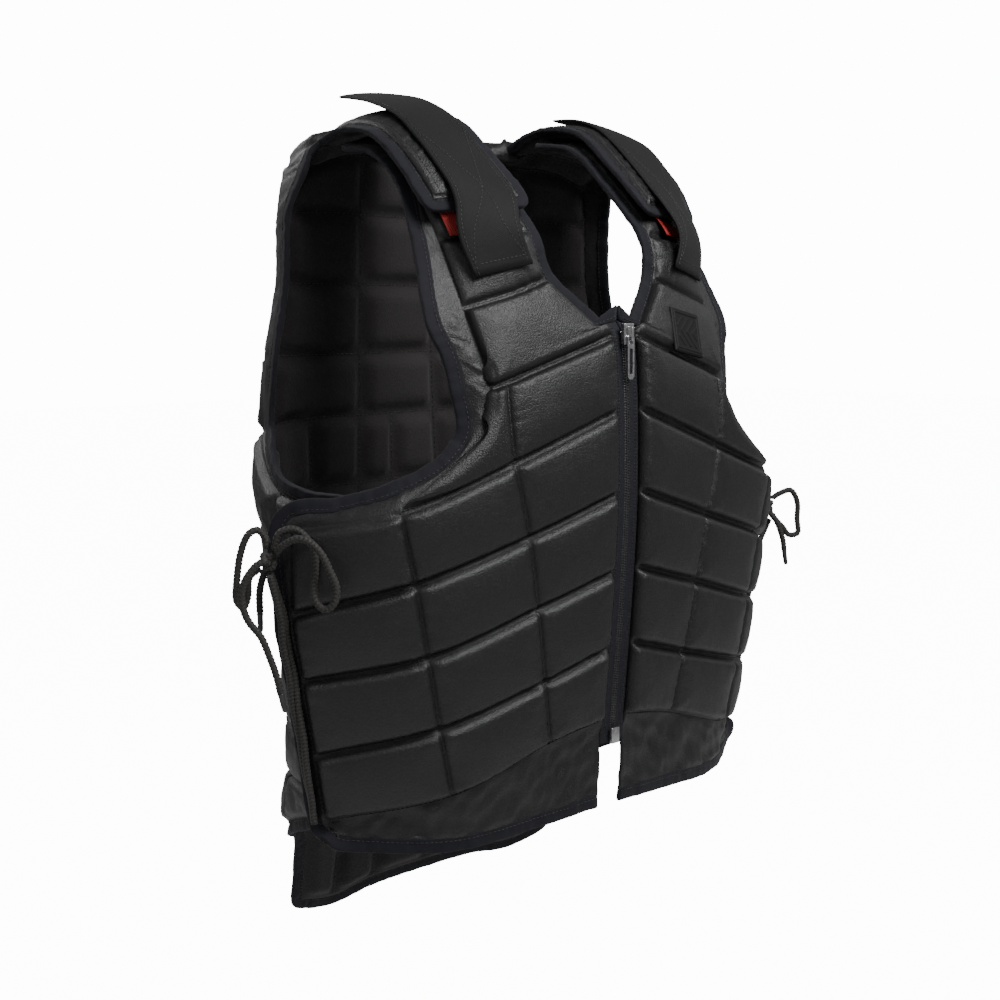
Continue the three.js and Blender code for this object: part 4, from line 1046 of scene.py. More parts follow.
def place_tail(u, v):
    top = place_back_low(u, np.full_like(u, float(BACK_LOW_LAST)))
    side = share(tail(np.full_like(u, 2.0), v), tail(np.full_like(u, 3.0), v)) * np.maximum(u - 2, 0)
    down = tail(u - side, v - v * share(tail(u, np.zeros_like(v)), tail(u, np.ones_like(v))))
    blend = np.clip(v / 0.12, 0, 1)[..., None]
    return top * (1 - blend) + down * blend


def back_walls(rise, under, crown, pucker):
    """Outer and lining half walls of the back's blocks."""
    out = SEAM_HALF + rise * (PAD_OUT + crown * FOAM_CROWN) + pucker
    inn = SEAM_HALF + under * (PAD_IN + crown * 0.5) + 0.35 * pucker
    return out, np.maximum(inn, 1.2)


back = Shell()
back_halves = []
for sign in (1, -1):
    turned = np.array([sign, 1.0, 1.0])
    u, v = np.meshgrid(flap_us, flap_vs)
    points = place_flap(u, v)
    rise, under, crown, pucker, uv, free = quilted(
        points, flap_us, flap_vs, [(1, 0, 5), (4, 0, 5)], [(0, 1, 4), (5, 1, 4)], 71 + sign
    )
    half = SEAM_HALF + rise * (FLAP_WALL / 2 - SEAM_HALF)
    flap_ids = back.grid(points * turned, half + pucker * 0.7, half, uv + (0, 0.9), free, sign < 0)
    u, v = np.meshgrid(back_top_us, back_top_vs)
    points = place_back_top(u, v)
    rise, under, crown, pucker, uv, free = quilted(
        points, back_top_us, back_top_vs, [(0, 0, 5), (2, 0, 5), (4, 0, 5)],
        [(k, 0, 4) for k in range(6)], 81 + sign,
    )
    out, inn = back_walls(rise, under, crown, pucker)
    back_top_ids = back.grid(points * turned, out, inn, uv, free, sign > 0)
    u, v = np.meshgrid(back_us, back_vs)
    points = place_back_low(u, v)
    rise, under, crown, pucker, uv, free = quilted(
        points, back_us, back_vs, [(k, 0, 6) for k in range(7)], [(k, 0, 6) for k in range(7)], 91 + sign
    )
    slack = np.clip(u - 4.9, 0, 1)
    pucker = pucker + ripples(points, 20, 99) * 1.1 * slack * np.clip((6 - u) * 4, 0, 1)
    out, inn = back_walls(rise, under, crown, pucker)
    back_low_ids = back.grid(points * turned, out, inn, uv + (0, 0.3), free, sign > 0)
    u, v = np.meshgrid(tail_us, tail_vs)
    points = place_tail(u, v)
    rise, under, crown, pucker, uv, free = quilted(
        points, tail_us, tail_vs, [(k, 0, 1) for k in range(4)], [(0, 0, 3), (1, 0, 3)], 101 + sign
    )
    out, inn = back_walls(rise, under, crown, pucker)
    tail_ids = back.grid(points * turned, out, inn, uv + (0, 0.6), free, sign > 0)
    far_us = back_us[back_us > 4]
    inner = np.vstack(
        [
            place_back_top(np.full(len(back_top_vs), 4.0), back_top_vs),
            place_back_low(far_us, np.zeros(len(far_us))),
        ]
    )
    stations = np.concatenate([back_top_vs, BACK_TOP_LAST + (far_us - 4) * 2])
    rims_at = curve_at(back_rims, stations)
    rims_at[0] = inner[0]
    back_strip_ids = strip_grid(
        back, inner * turned, rims_at * turned, False, sign > 0, 111 + sign, np.full(len(inner), 1.0)
    )
    back_halves.append(
        [
            back_top_ids[0, back_top_us <= 1],
            flap_ids[1:, 0],
            flap_ids[-1, :],
            flap_ids[::-1, -1],
            back_strip_ids[:, -1],
            back_low_ids[:, -1],
            back_low_ids[-1, back_us >= TAIL_SIDE][::-1],
            tail_ids[:, -1],
            tail_ids[-1, ::-1],
        ]
    )
back.weld()
back_chain_halves = [back.of[np.concatenate(half)] for half in back_halves]
back_chain = np.concatenate([back_chain_halves[1], back_chain_halves[0][::-1]])
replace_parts(shell_piece("back_shell", back, LEFT), "back_panel")

# Lace down each side edge: the same braided cord, doubled, lying side by side on the binding from the
# bow's knot to the hem.
BINDING_WALL = 4.4
RUN_TWIST = 620.0
LACING_PITCH = 46.0


def spread(values, closed, width=2):
    """Averages values with their neighbours along a chain."""
    total = values.copy()
    for k in range(1, width + 1):
        if closed:
            total += np.roll(values, k, 0) + np.roll(values, -k, 0)
        else:
            padded = np.concatenate([np.repeat(values[:1], k, 0), values, np.repeat(values[-1:], k, 0)])
            total += padded[: len(values)] + padded[2 * k :]
    return total / (2 * width + 1)


def rim_line(shell, chain, closed, step, reach, sign):
    """Even places beside a rim: middle line, run, way out of the edge, cloth's normal, distances."""
    chain = chain[np.concatenate([[True], chain[1:] != chain[:-1]])]
    points, normals = shell.mid[chain] * sign, shell.normal[chain] * sign
    if closed:
        points, normals = np.vstack([points, points[:1]]), np.vstack([normals, normals[:1]])
    far = reach_of(points)
    places = np.linspace(0, far[-1], max(int(far[-1] / step), 4) + 1)
    places = places[:-1] if closed else places
    points = picked(places, far, points)
    normals = unit(spread(picked(places, far, normals), closed))
    smooth = spread(points, closed, 2)
    if closed:
        run = unit(np.roll(smooth, -1, 0) - np.roll(smooth, 1, 0))
    else:
        run = unit(np.gradient(smooth, axis=0))
    wide = unit(spread(unit(np.cross(normals, run)) * sign[0], closed, 2))
    middle = spread(points + wide * reach, closed, 1)
    if not closed:
        middle[0], middle[-1] = points[0] + wide[0] * reach, points[-1] + wide[-1] * reach
    return middle, run, wide, unit(normals - run * np.sum(normals * run, 1)[:, None]), places


for side, sign in (("right", RIGHT), ("left", LEFT)):
    reach = TAPE_GAP + BINDING_WIDTH / 2
    middle, run, wide, lift, places = rim_line(front, front_side_ids, False, 1.0, reach, sign)
    laced = 0.9 * np.abs(np.sin(math.pi * places / LACING_PITCH))[:, None]
    lace_line = middle + lift * (BINDING_WALL / 2 + LACE / MM / 2 + TAPE_GAP) + wide * (laced - 2.6)
    knot_foot = np.array(KNOTS[side]) - (0, 0, KNOT / MM / 2 + 4 * TAPE_GAP)
    lead = evenly([knot_foot, lace_line[6]], 1.0)[:-1]
    lace_line = spread(np.vstack([lead, lace_line[6:]]), False, 4)
    lace_line = evenly(lace_line, BRAID_STEP / MM)
    run, wide, lift = frames_along(lace_line, (0.64 * -sign[0], 0.76, 0.05))
    turns = np.arange(len(lace_line))[:, None] / RUN_TWIST * 2 * math.pi
    strands = []
    for k, phase in enumerate((0, math.pi)):
        round_it = wide * np.cos(turns + phase) + lift * np.sin(turns + phase) * 0.7
        strand = lace_line + round_it * LACE / MM * 0.46
        strands.append(braided_cord(f"lace_run_{side}_{k}", strand * MM, LACE / 2, lace_paint))
    bpy.ops.object.select_all(action="DESELECT")
    for strand in strands:
        strand.select_set(True)
    bpy.context.view_layer.objects.active = strands[0]
    bpy.ops.object.join()
    strands[0].name = f"lace_run_{side}_doubled"
    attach(strands[0], "vest")
    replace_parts(strands[0], f"lace_run_{side}")


# Binding: a matte tape folded over every raw edge, eased round the curves in small pleats and sewn down
# with one row of stitches that goes through both sides.
BINDING_FOLD = 11.0
BINDING_THICK = 4.5
STITCH_IN = 2.9
NECK_RISE = 7.0

binding_paint, binding_tree, binding_shader = new_paint("binding_tape", (0.02, 0.02, 0.026), 0.75)
binding_cloud = noise(binding_tree, 60.0, 5.0)
binding_threads = add_group(binding_tree, weave_group, Threads=6000.0, Slant=0.0)
binding_tones = (0.0045, 0.0045, 0.0075), (0.0105, 0.0105, 0.0165)
tone(binding_tree, binding_shader, binding_cloud, "Fac", *binding_tones)
bump_chain(
    binding_tree, binding_shader,
    [(binding_cloud, "Fac", 0.3, 0.001), (binding_threads, "Height", 0.4, 0.00018)],
)
binding_shader.inputs["Sheen Weight"].default_value = 0.06
binding_shader.inputs["Specular IOR Level"].default_value = 0.24

thread_paint, thread_tree, thread_shader = new_paint("sewing_thread", (0.02, 0.02, 0.02), 0.5)
thread_twist = noise(thread_tree, 2400.0, 2.0)
tone(thread_tree, thread_shader, thread_twist, "Fac", (0.006, 0.006, 0.0065), (0.028, 0.028, 0.03))
bump_chain(thread_tree, thread_shader, [(thread_twist, "Fac", 0.3, 0.0002)])


def swept(name, middle, wide, lift, section, paint, closed, swell=None):
    """A solid band whose section follows a line: section lists (across, thick) in millimetres."""
    section = np.asarray(section)
    across = section[None, :, 0] * np.ones((len(middle), 1))
    thick = section[None, :, 1] * np.ones((len(middle), 1))
    if swell is not None:
        across, thick = swell(across, thick)
    points = middle[:, None] + wide[:, None] * across[..., None] + lift[:, None] * thick[..., None]
    far = reach_of(middle)
    round_it = reach_of(section)
    uv = np.stack(np.broadcast_arrays(far[:, None], round_it[None, :]), -1).reshape(-1, 2) * MM
    faces = ring_faces(len(middle), len(section), closed)
    piece = make_mesh(name, points.reshape(-1, 3) * MM, faces, [paint], uv=uv)
    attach(piece, "vest")
    return piece


def rounded_section(half_wide, half_thick, count, power):
    angle = np.linspace(0, 2 * math.pi, count, endpoint=False) + math.pi / count
    c, s = np.cos(angle), np.sin(angle)
    return np.stack(
        [half_wide * np.sign(c) * np.abs(c) ** power, half_thick * np.sign(s) * np.abs(s) ** power], 1
    )


def stitches(name, rows, pitch, length, thick):
    """Rows of sewn stitches in one piece; rows lists (points, normals) in millimetres."""
    points_all, faces_all = [], []
    rings = np.array([(-0.5, 0.25), (-0.42, 0.8), (0.0, 1.0), (0.42, 0.8), (0.5, 0.25)])
    angle = np.linspace(0, 2 * math.pi, 6, endpoint=False)
    tube_faces = ring_faces(len(rings), 6)
    count = 0
    for points, normals in rows:
        far = reach_of(points)
        places = np.arange(pitch / 2, far[-1] - pitch / 2, pitch)
        if len(places) == 0:
            continue
        spot = picked(places, far, points)
        ahead = picked(places + 0.5, far, points)
        normal = unit(picked(places, far, normals))
        run = unit(ahead - spot)
        beside = np.cross(normal, run)
        for p, r, b, n in zip(spot, run, beside, normal):
            ring = b * np.cos(angle)[:, None] * thick / 2 + n * np.sin(angle)[:, None] * thick / 2
            shape = p + r * (rings[:, 0, None] * length)[:, None] + ring[None] * rings[:, 1, None, None]
            points_all.append(shape.reshape(-1, 3))
            faces_all += [tuple(k + count for k in face) for face in tube_faces]
            count += len(rings) * 6
    piece = make_mesh(name, np.vstack(points_all) * MM, faces_all, [thread_paint])
    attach(piece, "vest")
    return piece


def bound_edge(name, node_name, shell, chain, closed, sign, seed):
    reach = TAPE_GAP + BINDING_WIDTH - BINDING_FOLD / 2
    middle, _, wide, lift, places = rim_line(shell, chain, closed, 2.0, reach, sign)
    if not closed:
        corner = front_top(np.float64(0), np.float64(CORNER_ROW)) * sign
        over_zip = corner + (-sign[0] * (ZIP_HALF - 1.2), 0, NECK_RISE)
        back_by = np.array([1.0, 0.8, 0.6, 0.4, 0.2])[:, None]
        middle = np.vstack([middle[0] + (over_zip - middle[0]) * back_by, middle])
        wide = np.vstack([unit(wide[0] * (1 - back_by) + np.array([0, 0, 1.0]) * back_by), wide])
        lift = np.vstack([np.repeat(lift[:1], len(back_by), 0), lift])
        places = np.concatenate([-12 * back_by[:, 0], places])
    pleat = noise_along(places / 4.3, seed)[:, None] * 0.16
    pleat = pleat + noise_along(places / 2.4, seed + 1)[:, None] * 0.1
    ease = noise_along(places / 9, seed + 2)[:, None] * 0.35

    def swell(across, thick):
        seam = 1 - 0.2 * np.exp(-(((across + BINDING_FOLD / 2 - STITCH_IN) / 1.0) ** 2))
        return across * (1 + 0.02 * pleat) + ease * (across > 0), thick * (1 + pleat) * seam

    section = rounded_section(BINDING_FOLD / 2, BINDING_THICK / 2, 26, 0.45)
    piece = swept(name, middle, wide, lift, section, binding_paint, closed, swell)
    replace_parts(piece, node_name)
    row = middle - wide * (BINDING_FOLD / 2 - STITCH_IN)
    high = BINDING_THICK / 2 * 0.84
    return [(row + lift * high, lift), (row - lift * high, -lift)]


binding_rows = bound_edge("back_edge_binding", "back_binding", back, back_chain, True, LEFT, 201)
for side, sign, seed in (("right", RIGHT, 211), ("left", LEFT, 221)):
    binding_rows += bound_edge(
        f"front_edge_binding_{side}", f"front_binding_{side}", front, front_chain, False, sign, seed
    )
stitches("binding_stitches", binding_rows, pitch=3.4, length=2.5, thick=0.7)


# Quilting stitches: a straight row of thread sunk in every groove of the fronts and the back, and
# one row round the edge of each shoulder flap.
def groove_row(shell, ids, sign, side=1):
    ids = shell.of[ids]
    wall = (shell.wall_out if side > 0 else shell.wall_in)[ids, None] + 0.12
    return (shell.mid[ids] + side * shell.normal[ids] * wall) * sign, side * shell.normal[ids] * sign


def groove_rows(shell, grid, us, vs, upright, level, sign, side=1):
    rows = []
    for u, first, last in upright:
        column = int(np.argmin(np.abs(us - u)))
        rows.append(groove_row(shell, grid[(vs >= first) & (vs <= last), column], sign, side))
    for v, first, last in level:
        row = int(np.argmin(np.abs(vs - v)))
        rows.append(groove_row(shell, grid[row, (us >= first) & (us <= last)], sign, side))
    return rows


quilting = []
for sign in (RIGHT, LEFT):
    quilting += groove_rows(
        front, top_ids, top_us, front_vs, [(1, FIRST_ROW, 8), (2, 3, 8)],
        [(POCKET_ROW, 0, 2), (FOOT_ROW, 0, 2), (FIRST_ROW, 0, 2), (TOP_LAST, 0, 2)], sign,
    )
    quilting += groove_rows(
        front, low_ids, front_us, low_vs, [(1, 0, 4), (2, 0, 4), (3, 0, 4)],
        [(1, 0, 3), (2, 0, 3), (3, 0, 3), (4, 0, 3)], sign,
    )
stitches("front_quilting", quilting, pitch=3.2, length=2.4, thick=0.65)


def top_stitch(shell, ids, sign):
    ids = shell.of[ids]
    lift = shell.normal[ids] * (shell.wall_out[ids, None] + 0.1)
    return (shell.mid[ids] + lift) * sign, shell.normal[ids] * sign


flap_rows = []
low_row = int(np.argmin(np.abs(flap_vs - 4.86)))
near_column, far_column = (int(np.argmin(np.abs(flap_us - u))) for u in (1.3, 3.8))
for sign in (RIGHT, LEFT):
    flap_rows.append(top_stitch(back, flap_ids[low_row, near_column : far_column + 1], sign))
    for column in (near_column, far_column):
        flap_rows.append(top_stitch(back, flap_ids[: low_row + 1, column], sign))
stitches("flap_stitches", flap_rows, pitch=3.2, length=2.4, thick=0.65)
quilting = []
for grid, us, vs, upright, level in (
    (back_low_ids, back_us, back_vs, [(k, 0, 6) for k in range(6)], [(k, 0, 6) for k in range(7)]),
    (back_top_ids, back_top_us, back_top_vs, [(0, 0, 5), (2, 0, 5)], [(k, 0, 4) for k in range(1, 5)]),
    (tail_ids, tail_us, tail_vs, [(k, 0, 1) for k in range(3)], []),
):
    for side in (1, -1):
        for sign in (RIGHT, LEFT):
            quilting += groove_rows(back, grid, us, vs, upright, level, sign, side)
stitches("back_quilting", quilting, pitch=4.2, length=3.0, thick=0.7)


# Shoulder straps: broad hook-and-loop tape, sewn to the chest with a crossed box of stitches and pressed
# over the shoulder flap; its free end behind stands up.
STRAP_WIDTH = 45
STRAP_WALL = 2.4
STRAP_BOW = 0.9
SEAM_FROM_EDGE = 3.4
SEAM_AFTER_TIP = 2
SEAM_BEFORE_END = 4
BOX_PLACES = 58
TIP_LIFTS = {"right": 18, "left": 8}
TIP_ROWS = {"right": 0.45, "left": 0.8}
STRAP_PATH = [
    (1.56, 0.45, 1), (1.58, 0.8, 0.66), (1.61, 1.2, 0.42), (1.64, 1.7, 0.22), (1.67, 2.3, 0.14),
    (1.68, 2.9, 0.09), (1.68, 3.5, 0.05), (1.67, 4.2, 0.06), (1.63, 4.9, 0.12),
]
STRAP_FOOT = [(1.1, 3.04, 8.0), (1.08, 3.3, 3.6), (1.05, 3.62, 0.5)]

strap_paint, strap_tree, strap_shader = new_paint("hook_and_loop", (0.014, 0.014, 0.015), 0.7)
strap_nap = noise(strap_tree, 900.0, 4.0)
strap_cloud = noise(strap_tree, 40.0, 4.0)
strap_threads = add_group(strap_tree, weave_group, Threads=3600.0, Slant=0.0)
tone(strap_tree, strap_shader, strap_cloud, "Fac", (0.0028, 0.0028, 0.003), (0.007, 0.007, 0.0074))
bump_chain(
    strap_tree,
    strap_shader,
    [
        (strap_cloud, "Fac", 0.25, 0.002),
        (strap_nap, "Fac", 0.4, 0.0004),
        (strap_threads, "Height", 0.4, 0.0002),
    ],
)
strap_shader.inputs["Sheen Weight"].default_value = 0.03
strap_shader.inputs["Specular IOR Level"].default_value = 0.28


def off(place, u, v, distance):
    """A place off a surface by a distance, with the unit directions across it and out of it."""
    step = 0.02
    u, v = np.float64(u), np.float64(v)
    across = unit(place(u + step, v) - place(u - step, v))
    down = place(u, v + step) - place(u, v - step)
    out = unit(np.cross(down, across))
    return place(u, v) + out * distance, across, out


def tape_section(half_wide, half_thick, count):
    """A flat tape's section with rounded edges and enough points across to lie in soft waves."""
    across = np.linspace(-1, 1, count)
    edge = half_thick * (1 - np.abs(across) ** 22 * 0.55)
    upper = np.stack([across[::-1] * half_wide, edge[::-1]], 1)
    lower = np.stack([across * half_wide, -edge], 1)
    return np.vstack([upper, lower])


def through(stations, step):
    """Even places on a smooth line through stations (point, across, out)."""
    points, wides, outs = (np.array([s[k] for s in stations]) for k in range(3))
    t = np.linspace(0, len(points) - 1, 60 * len(points))
    w = curve_weights(len(points), t)
    line, wide, out = w @ points, unit(w @ wides), unit(w @ outs)
    far = reach_of(line)
    places = np.linspace(0, far[-1], int(far[-1] / step) + 1)
    line, wide, out = (picked(places, far, k) for k in (line, wide, out))
    return line, unit(wide), unit(out), places


strap_rows = []
for side, sign in (("right", RIGHT), ("left", LEFT)):
    over = FLAP_WALL / 2 + TAPE_GAP + STRAP_WALL / 2
    chest = (2 * SEAM_HALF + PAD_OUT + PAD_CROWN) / 2 + TAPE_GAP + STRAP_WALL / 2
    stations = [
        off(saddle, column, row, over + lift * TIP_LIFTS[side])
        for column, row, lift in STRAP_PATH
        if row >= TIP_ROWS[side]
    ] + [off(front_top, column, row, chest + rise) for column, row, rise in STRAP_FOOT]
    line, wide, out, places = through(stations, 2.0)
    ends = line[:1], line[-1:]
    line = np.vstack([ends[0], spread(line, False, 7)[1:-1], ends[1]])
    wide, out = unit(spread(wide, False, 12)), unit(spread(out, False, 8))
    line, wide, out = line * sign, wide * sign, out * sign
    wave = noise_along(places / 24, 301 if side == "left" else 305)[:, None]

    def lie(across, thick):
        share_out = across / (STRAP_WIDTH / 2)
        bow = STRAP_BOW * (wave * share_out - share_out**2 + 1)
        stitched = 0.28 * np.exp(-(((np.abs(across) - STRAP_WIDTH / 2 + SEAM_FROM_EDGE) / 0.9) ** 2))
        return across, thick * (1 - stitched) + bow

    section = tape_section(STRAP_WIDTH / 2, STRAP_WALL / 2, 31)
    piece = swept(f"shoulder_tape_{side}", line, wide, out, section, strap_paint, False, lie)
    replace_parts(piece, f"shoulder_strap_{side}")
    top = out * (STRAP_WALL / 2 + 0.05)
    edge = STRAP_WIDTH / 2 - SEAM_FROM_EDGE
    for k in (-1, 1):
        share_out = k * edge / (STRAP_WIDTH / 2)
        bow = STRAP_BOW * (wave * share_out - share_out**2 + 1) - 0.25
        strap_rows.append((line + wide * k * edge + top + out * bow, out))
    foot = len(line) - SEAM_BEFORE_END
    head = foot - BOX_PLACES
    box = np.arange(head, foot + 1)
    for n, hand in ((np.repeat(SEAM_AFTER_TIP, 12), 1), (np.repeat(foot, 12), 1), (box, -1), (box, 1)):
        t = (np.linspace(-1, 1, len(n)) * hand * edge)[:, None]
        share_out = t / (STRAP_WIDTH / 2)
        bow = STRAP_BOW * (wave[n] * share_out - share_out**2 + 1) - 0.05
        strap_rows.append((line[n] + wide[n] * t + top[n] + out[n] * bow, out[n]))
stitches("strap_stitches", strap_rows, pitch=3.2, length=2.4, thick=0.7)


# Red webbing under each strap, just below the flap's end: a flat ribbed polyester band whose edge
# shows beside the strap.
BAND_WIDTH = 50
BAND_WALL = 1.4
band_paint, band_tree, band_shader = new_paint("red_webbing", (0.3, 0.01, 0.01), 0.6)
band_cloud = noise(band_tree, 300.0, 4.0)
band_threads = add_group(band_tree, weave_group, Threads=4200.0, Slant=0.0)
tone(band_tree, band_shader, band_cloud, "Fac", (0.2, 0.006, 0.006), (0.42, 0.016, 0.014))
band_heights = [(band_threads, "Height", 0.7, 0.0003), (band_cloud, "Fac", 0.2, 0.0004)]
bump_chain(band_tree, band_shader, band_heights)

for side, sign in (("right", RIGHT), ("left", LEFT)):
    over = TONGUE_WALL / 2 + TAPE_GAP + BAND_WALL / 2
    stations = [off(front_top, 1.08, row, over) for row in (2.64, 2.78, 2.9, 3.02)]
    line, wide, out, places = through(stations, 1.0)

    def ribbed(across, thick):
        return across, thick * (1 + 0.22 * np.cos(across * 2 * math.pi / 1.7))

    section = tape_section(BAND_WIDTH / 2, BAND_WALL / 2, 121)
    line, wide, out = line * sign, wide * sign, out * sign
    name = f"red_tape_{side}"
    piece = swept(name, line, wide, out, section, band_paint, False, ribbed)
    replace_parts(piece, f"red_band_{side}")


# Zip: two woven tapes sewn to the front edges, cast teeth, a slider with a long puller, and a box at the
# bottom. The puller swings on the slider's bridge.
ZIP_ROWS = (5, 5.5, 6, 6.5, 7, 7.5, 8)
ZIP_LOW_ROWS = (0.5, 1, 1.5, 2, 2.5, 3, 3.5, 4, 4.3)
CHAIN_WALL = 3.4
TAPE_WALL = 1.6
TAPE_INNER = 0.6
TAPE_HALF = (ZIP_HALF - TAPE_GAP - TAPE_INNER) / 2
TAPE_MIDDLE = ZIP_HALF - TAPE_GAP - TAPE_HALF
TOOTH_PITCH = 1.9
SLIDER_LENGTH = 15

zip_points = np.array(
    [front_top(np.float64(0), np.float64(v)) for v in ZIP_ROWS]
    + [front_low(np.float64(0), np.float64(v)) for v in ZIP_LOW_ROWS]
)
zip_points[:, 0] = 0
zip_rise = unit(zip_points[0] - zip_points[1]) * NECK_RISE
zip_points = np.vstack([zip_points[:1] + zip_rise, zip_points])
zip_line = evenly(zip_points, 1.5)
zip_run = unit(np.gradient(zip_line, axis=0))
zip_wide = np.tile([1.0, 0, 0], (len(zip_line), 1))
zip_out = unit(np.cross(zip_run, zip_wide))

tape_paint, tape_tree, tape_shader = new_paint("zip_tape_cloth", (0.02, 0.02, 0.026), 0.8)
tape_cloud = noise(tape_tree, 90.0, 4.0)
tape_threads = add_group(tape_tree, weave_group, Threads=5200.0, Slant=1.0)
tone(tape_tree, tape_shader, tape_cloud, "Fac", (0.007, 0.007, 0.011), (0.015, 0.015, 0.022))
tape_heights = [(tape_threads, "Height", 0.6, 0.00025), (tape_cloud, "Fac", 0.2, 0.0006)]
bump_chain(tape_tree, tape_shader, tape_heights)
tape_shader.inputs["Specular IOR Level"].default_value = 0.35

tape_rows = []
for side, k in (("right", -1), ("left", 1)):
    middle = zip_line + zip_wide * k * TAPE_MIDDLE
    section = tape_section(TAPE_HALF, TAPE_WALL / 2, 15)

    def woven(across, thick):
        edge = np.abs(across * k + TAPE_HALF * 0.78)
        return across, thick * (1 + 0.7 * np.exp(-((edge / 0.9) ** 2)))

    name = f"zip_cloth_{side}"
    piece = swept(name, middle, zip_wide, zip_out, section, tape_paint, False, woven)
    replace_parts(piece, f"zip_tape_{side}")
    for t in (1.4, 3.0):
        tape_rows.append((middle + zip_wide * k * t + zip_out * (TAPE_WALL / 2 + 0.1), zip_out))
stitches("zip_stitches", tape_rows, pitch=2.6, length=2.0, thick=0.6)

metal_paint, metal_tree, metal_shader = new_paint("bright_metal", (0.6, 0.6, 0.61), 0.25, 1.0)
metal_smear = noise(metal_tree, 420.0, 5.0)
tone(metal_tree, metal_shader, metal_smear, "Fac", (0.42, 0.42, 0.43), (0.72, 0.72, 0.73))
gloss(metal_tree, metal_shader, metal_smear, 0.18, 0.38)
bump_chain(metal_tree, metal_shader, [(metal_smear, "Fac", 0.08, 0.0003)])

tooth_paint, tooth_tree, tooth_shader = new_paint("dark_teeth", (0.12, 0.12, 0.125), 0.35, 1.0)
tooth_wear = noise(tooth_tree, 600.0, 3.0)
tone(tooth_tree, tooth_shader, tooth_wear, "Fac", (0.03, 0.03, 0.032), (0.16, 0.16, 0.165))
bump_chain(tooth_tree, tooth_shader, [(tooth_wear, "Fac", 0.1, 0.0002)])

far = reach_of(zip_line)
places = np.arange(SLIDER_LENGTH + NECK_RISE - 1, far[-1] - 2, TOOTH_PITCH / 2)
spots = picked(places, far, zip_line)
runs = unit(picked(places, far, zip_run))
outs = unit(picked(places, far, zip_out))
tooth_points, tooth_faces = [], []
tooth_outline = rounded_section(0.62, CHAIN_WALL / 2 - 0.15, 10, 0.55)
for k, (spot, run, out) in enumerate(zip(spots, runs, outs)):
    hand = 1 if k % 2 else -1
    for across, size in ((-0.55, 0.7), (-0.2, 1.0), (2.1, 1.0), (2.65, 0.75)):
        for along_run, thick in tooth_outline * size:
            tooth_points.append(spot + np.array([hand * across, 0, 0]) + run * along_run + out * thick)
    for face in ring_faces(4, 10):
        face = [p + 40 * k for p in face]
        tooth_faces.append(tuple(face if hand > 0 else reversed(face)))
teeth = make_mesh("zip_teeth", np.array(tooth_points) * MM, tooth_faces, [tooth_paint])
teeth.data.shade_flat()
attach(teeth, "vest")
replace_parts(teeth, "zip_chain")


def crisp_copy(node_name, name, body, edge):
    """The CAD's own metal part, merged and with its edges rounded."""
    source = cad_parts[node_name]
    mesh = source.data.copy()
    piece = bpy.data.objects.new(name, mesh)
    bpy.context.scene.collection.objects.link(piece)
    mesh.materials.clear()
    mesh.materials.append(metal_paint)
    shape = bmesh.new()
    shape.from_mesh(mesh)
    bmesh.ops.remove_doubles(shape, verts=shape.verts, dist=1e-6)
    bmesh.ops.dissolve_limit(shape, angle_limit=math.radians(3), verts=shape.verts, edges=shape.edges)
    shape.to_mesh(mesh)
    shape.free()
    bevel = piece.modifiers.new("edges", "BEVEL")
    bevel.width = edge * MM
    bevel.segments = 3
    bevel.limit_method = "ANGLE"
    bevel.angle_limit = math.radians(30)
    bpy.ops.object.select_all(action="DESELECT")
    piece.select_set(True)
    bpy.context.view_layer.objects.active = piece
    bpy.ops.object.modifier_apply(modifier="edges")
    bpy.ops.object.shade_smooth_by_angle(angle=math.radians(35))
    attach(piece, body)
    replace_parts(piece, node_name)
    return piece


crisp_copy("zip_slider", "zip_slider_cast", "vest", 0.6)
crisp_copy("zip_puller", "zip_puller_cast", "puller", 0.35)
crisp_copy("zip_box", "zip_box_cast", "vest", 0.6)


# Badge: a square of embossed rubber sewn on the wearer's left chest, with a raised border and
# slanting bars inside it.
BADGE_SIDE = 34
BADGE_WALL = 1.2
BADGE_COLUMN = 0.6
BADGE_ROW = 4.97
BADGE_STEPS = 120

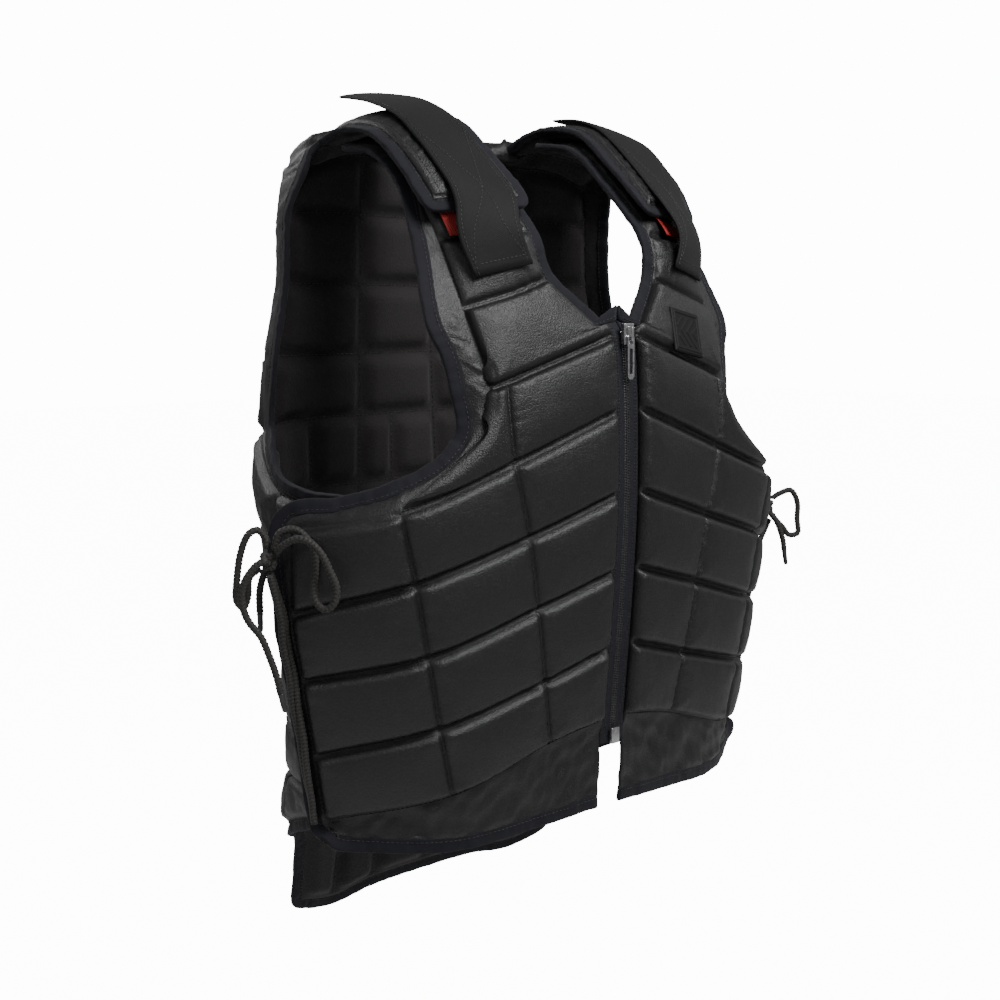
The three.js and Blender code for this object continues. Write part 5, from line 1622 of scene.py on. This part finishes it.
badge_paint, badge_tree, badge_shader = new_paint("embossed_rubber", (0.02, 0.02, 0.021), 0.62)
badge_grain = noise(badge_tree, 500.0, 5.0)
tone(badge_tree, badge_shader, badge_grain, "Fac", (0.003, 0.003, 0.0033), (0.0075, 0.0075, 0.008))
badge_shader.inputs["Specular IOR Level"].default_value = 0.22
bump_chain(badge_tree, badge_shader, [(badge_grain, "Fac", 0.25, 0.0003)])

badge_lift = SEAM_HALF + PAD_OUT + PAD_CROWN + 4 * TAPE_GAP + BADGE_WALL / 2
badge_point, badge_wide, badge_out = off(front_top, BADGE_COLUMN, BADGE_ROW, badge_lift)
badge_down = np.cross(badge_wide, badge_out)
t = np.linspace(-1, 1, BADGE_STEPS)
x, y = np.meshgrid(t, t)
edge = np.maximum(np.abs(x), np.abs(y))
border = np.clip(1 - np.abs(edge - 0.82) / 0.05, 0, 1)
bars = np.clip(1.6 - np.abs(((x - np.abs(y) * 0.9 + 4) / 0.42) % 1 - 0.5) / 0.14, 0, 1) * (edge < 0.66)
height = BADGE_WALL / 2 + 0.5 * np.clip(border * 1.5, 0, 1) + 0.45 * np.clip(bars, 0, 1)
height -= 0.8 * np.clip((edge - 0.94) / 0.06, 0, 1)
half = BADGE_SIDE / 2
flat = badge_point + badge_wide * (x * half)[..., None] + badge_down * (y * half)[..., None]
upper = flat + badge_out * height[..., None]
lower = flat - badge_out * (BADGE_WALL / 2 + 1.5)
ids = np.arange(BADGE_STEPS**2).reshape(BADGE_STEPS, BADGE_STEPS)
quads = np.stack([ids[:-1, :-1], ids[1:, :-1], ids[1:, 1:], ids[:-1, 1:]], -1).reshape(-1, 4)
badge_faces = [tuple(q) for q in quads] + [tuple(q[::-1] + BADGE_STEPS**2) for q in quads]
rim = np.concatenate([ids[0, :-1], ids[:-1, -1], ids[-1, :0:-1], ids[:0:-1, 0]])
for p, q in zip(rim, np.roll(rim, -1)):
    badge_faces.append((p, q, q + BADGE_STEPS**2, p + BADGE_STEPS**2))
badge_points = np.vstack([upper.reshape(-1, 3), lower.reshape(-1, 3)]) * MM
badge = make_mesh("badge_plate", badge_points, badge_faces, [badge_paint])
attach(badge, "vest")
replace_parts(badge, "badge")


bpy.context.view_layer.update()
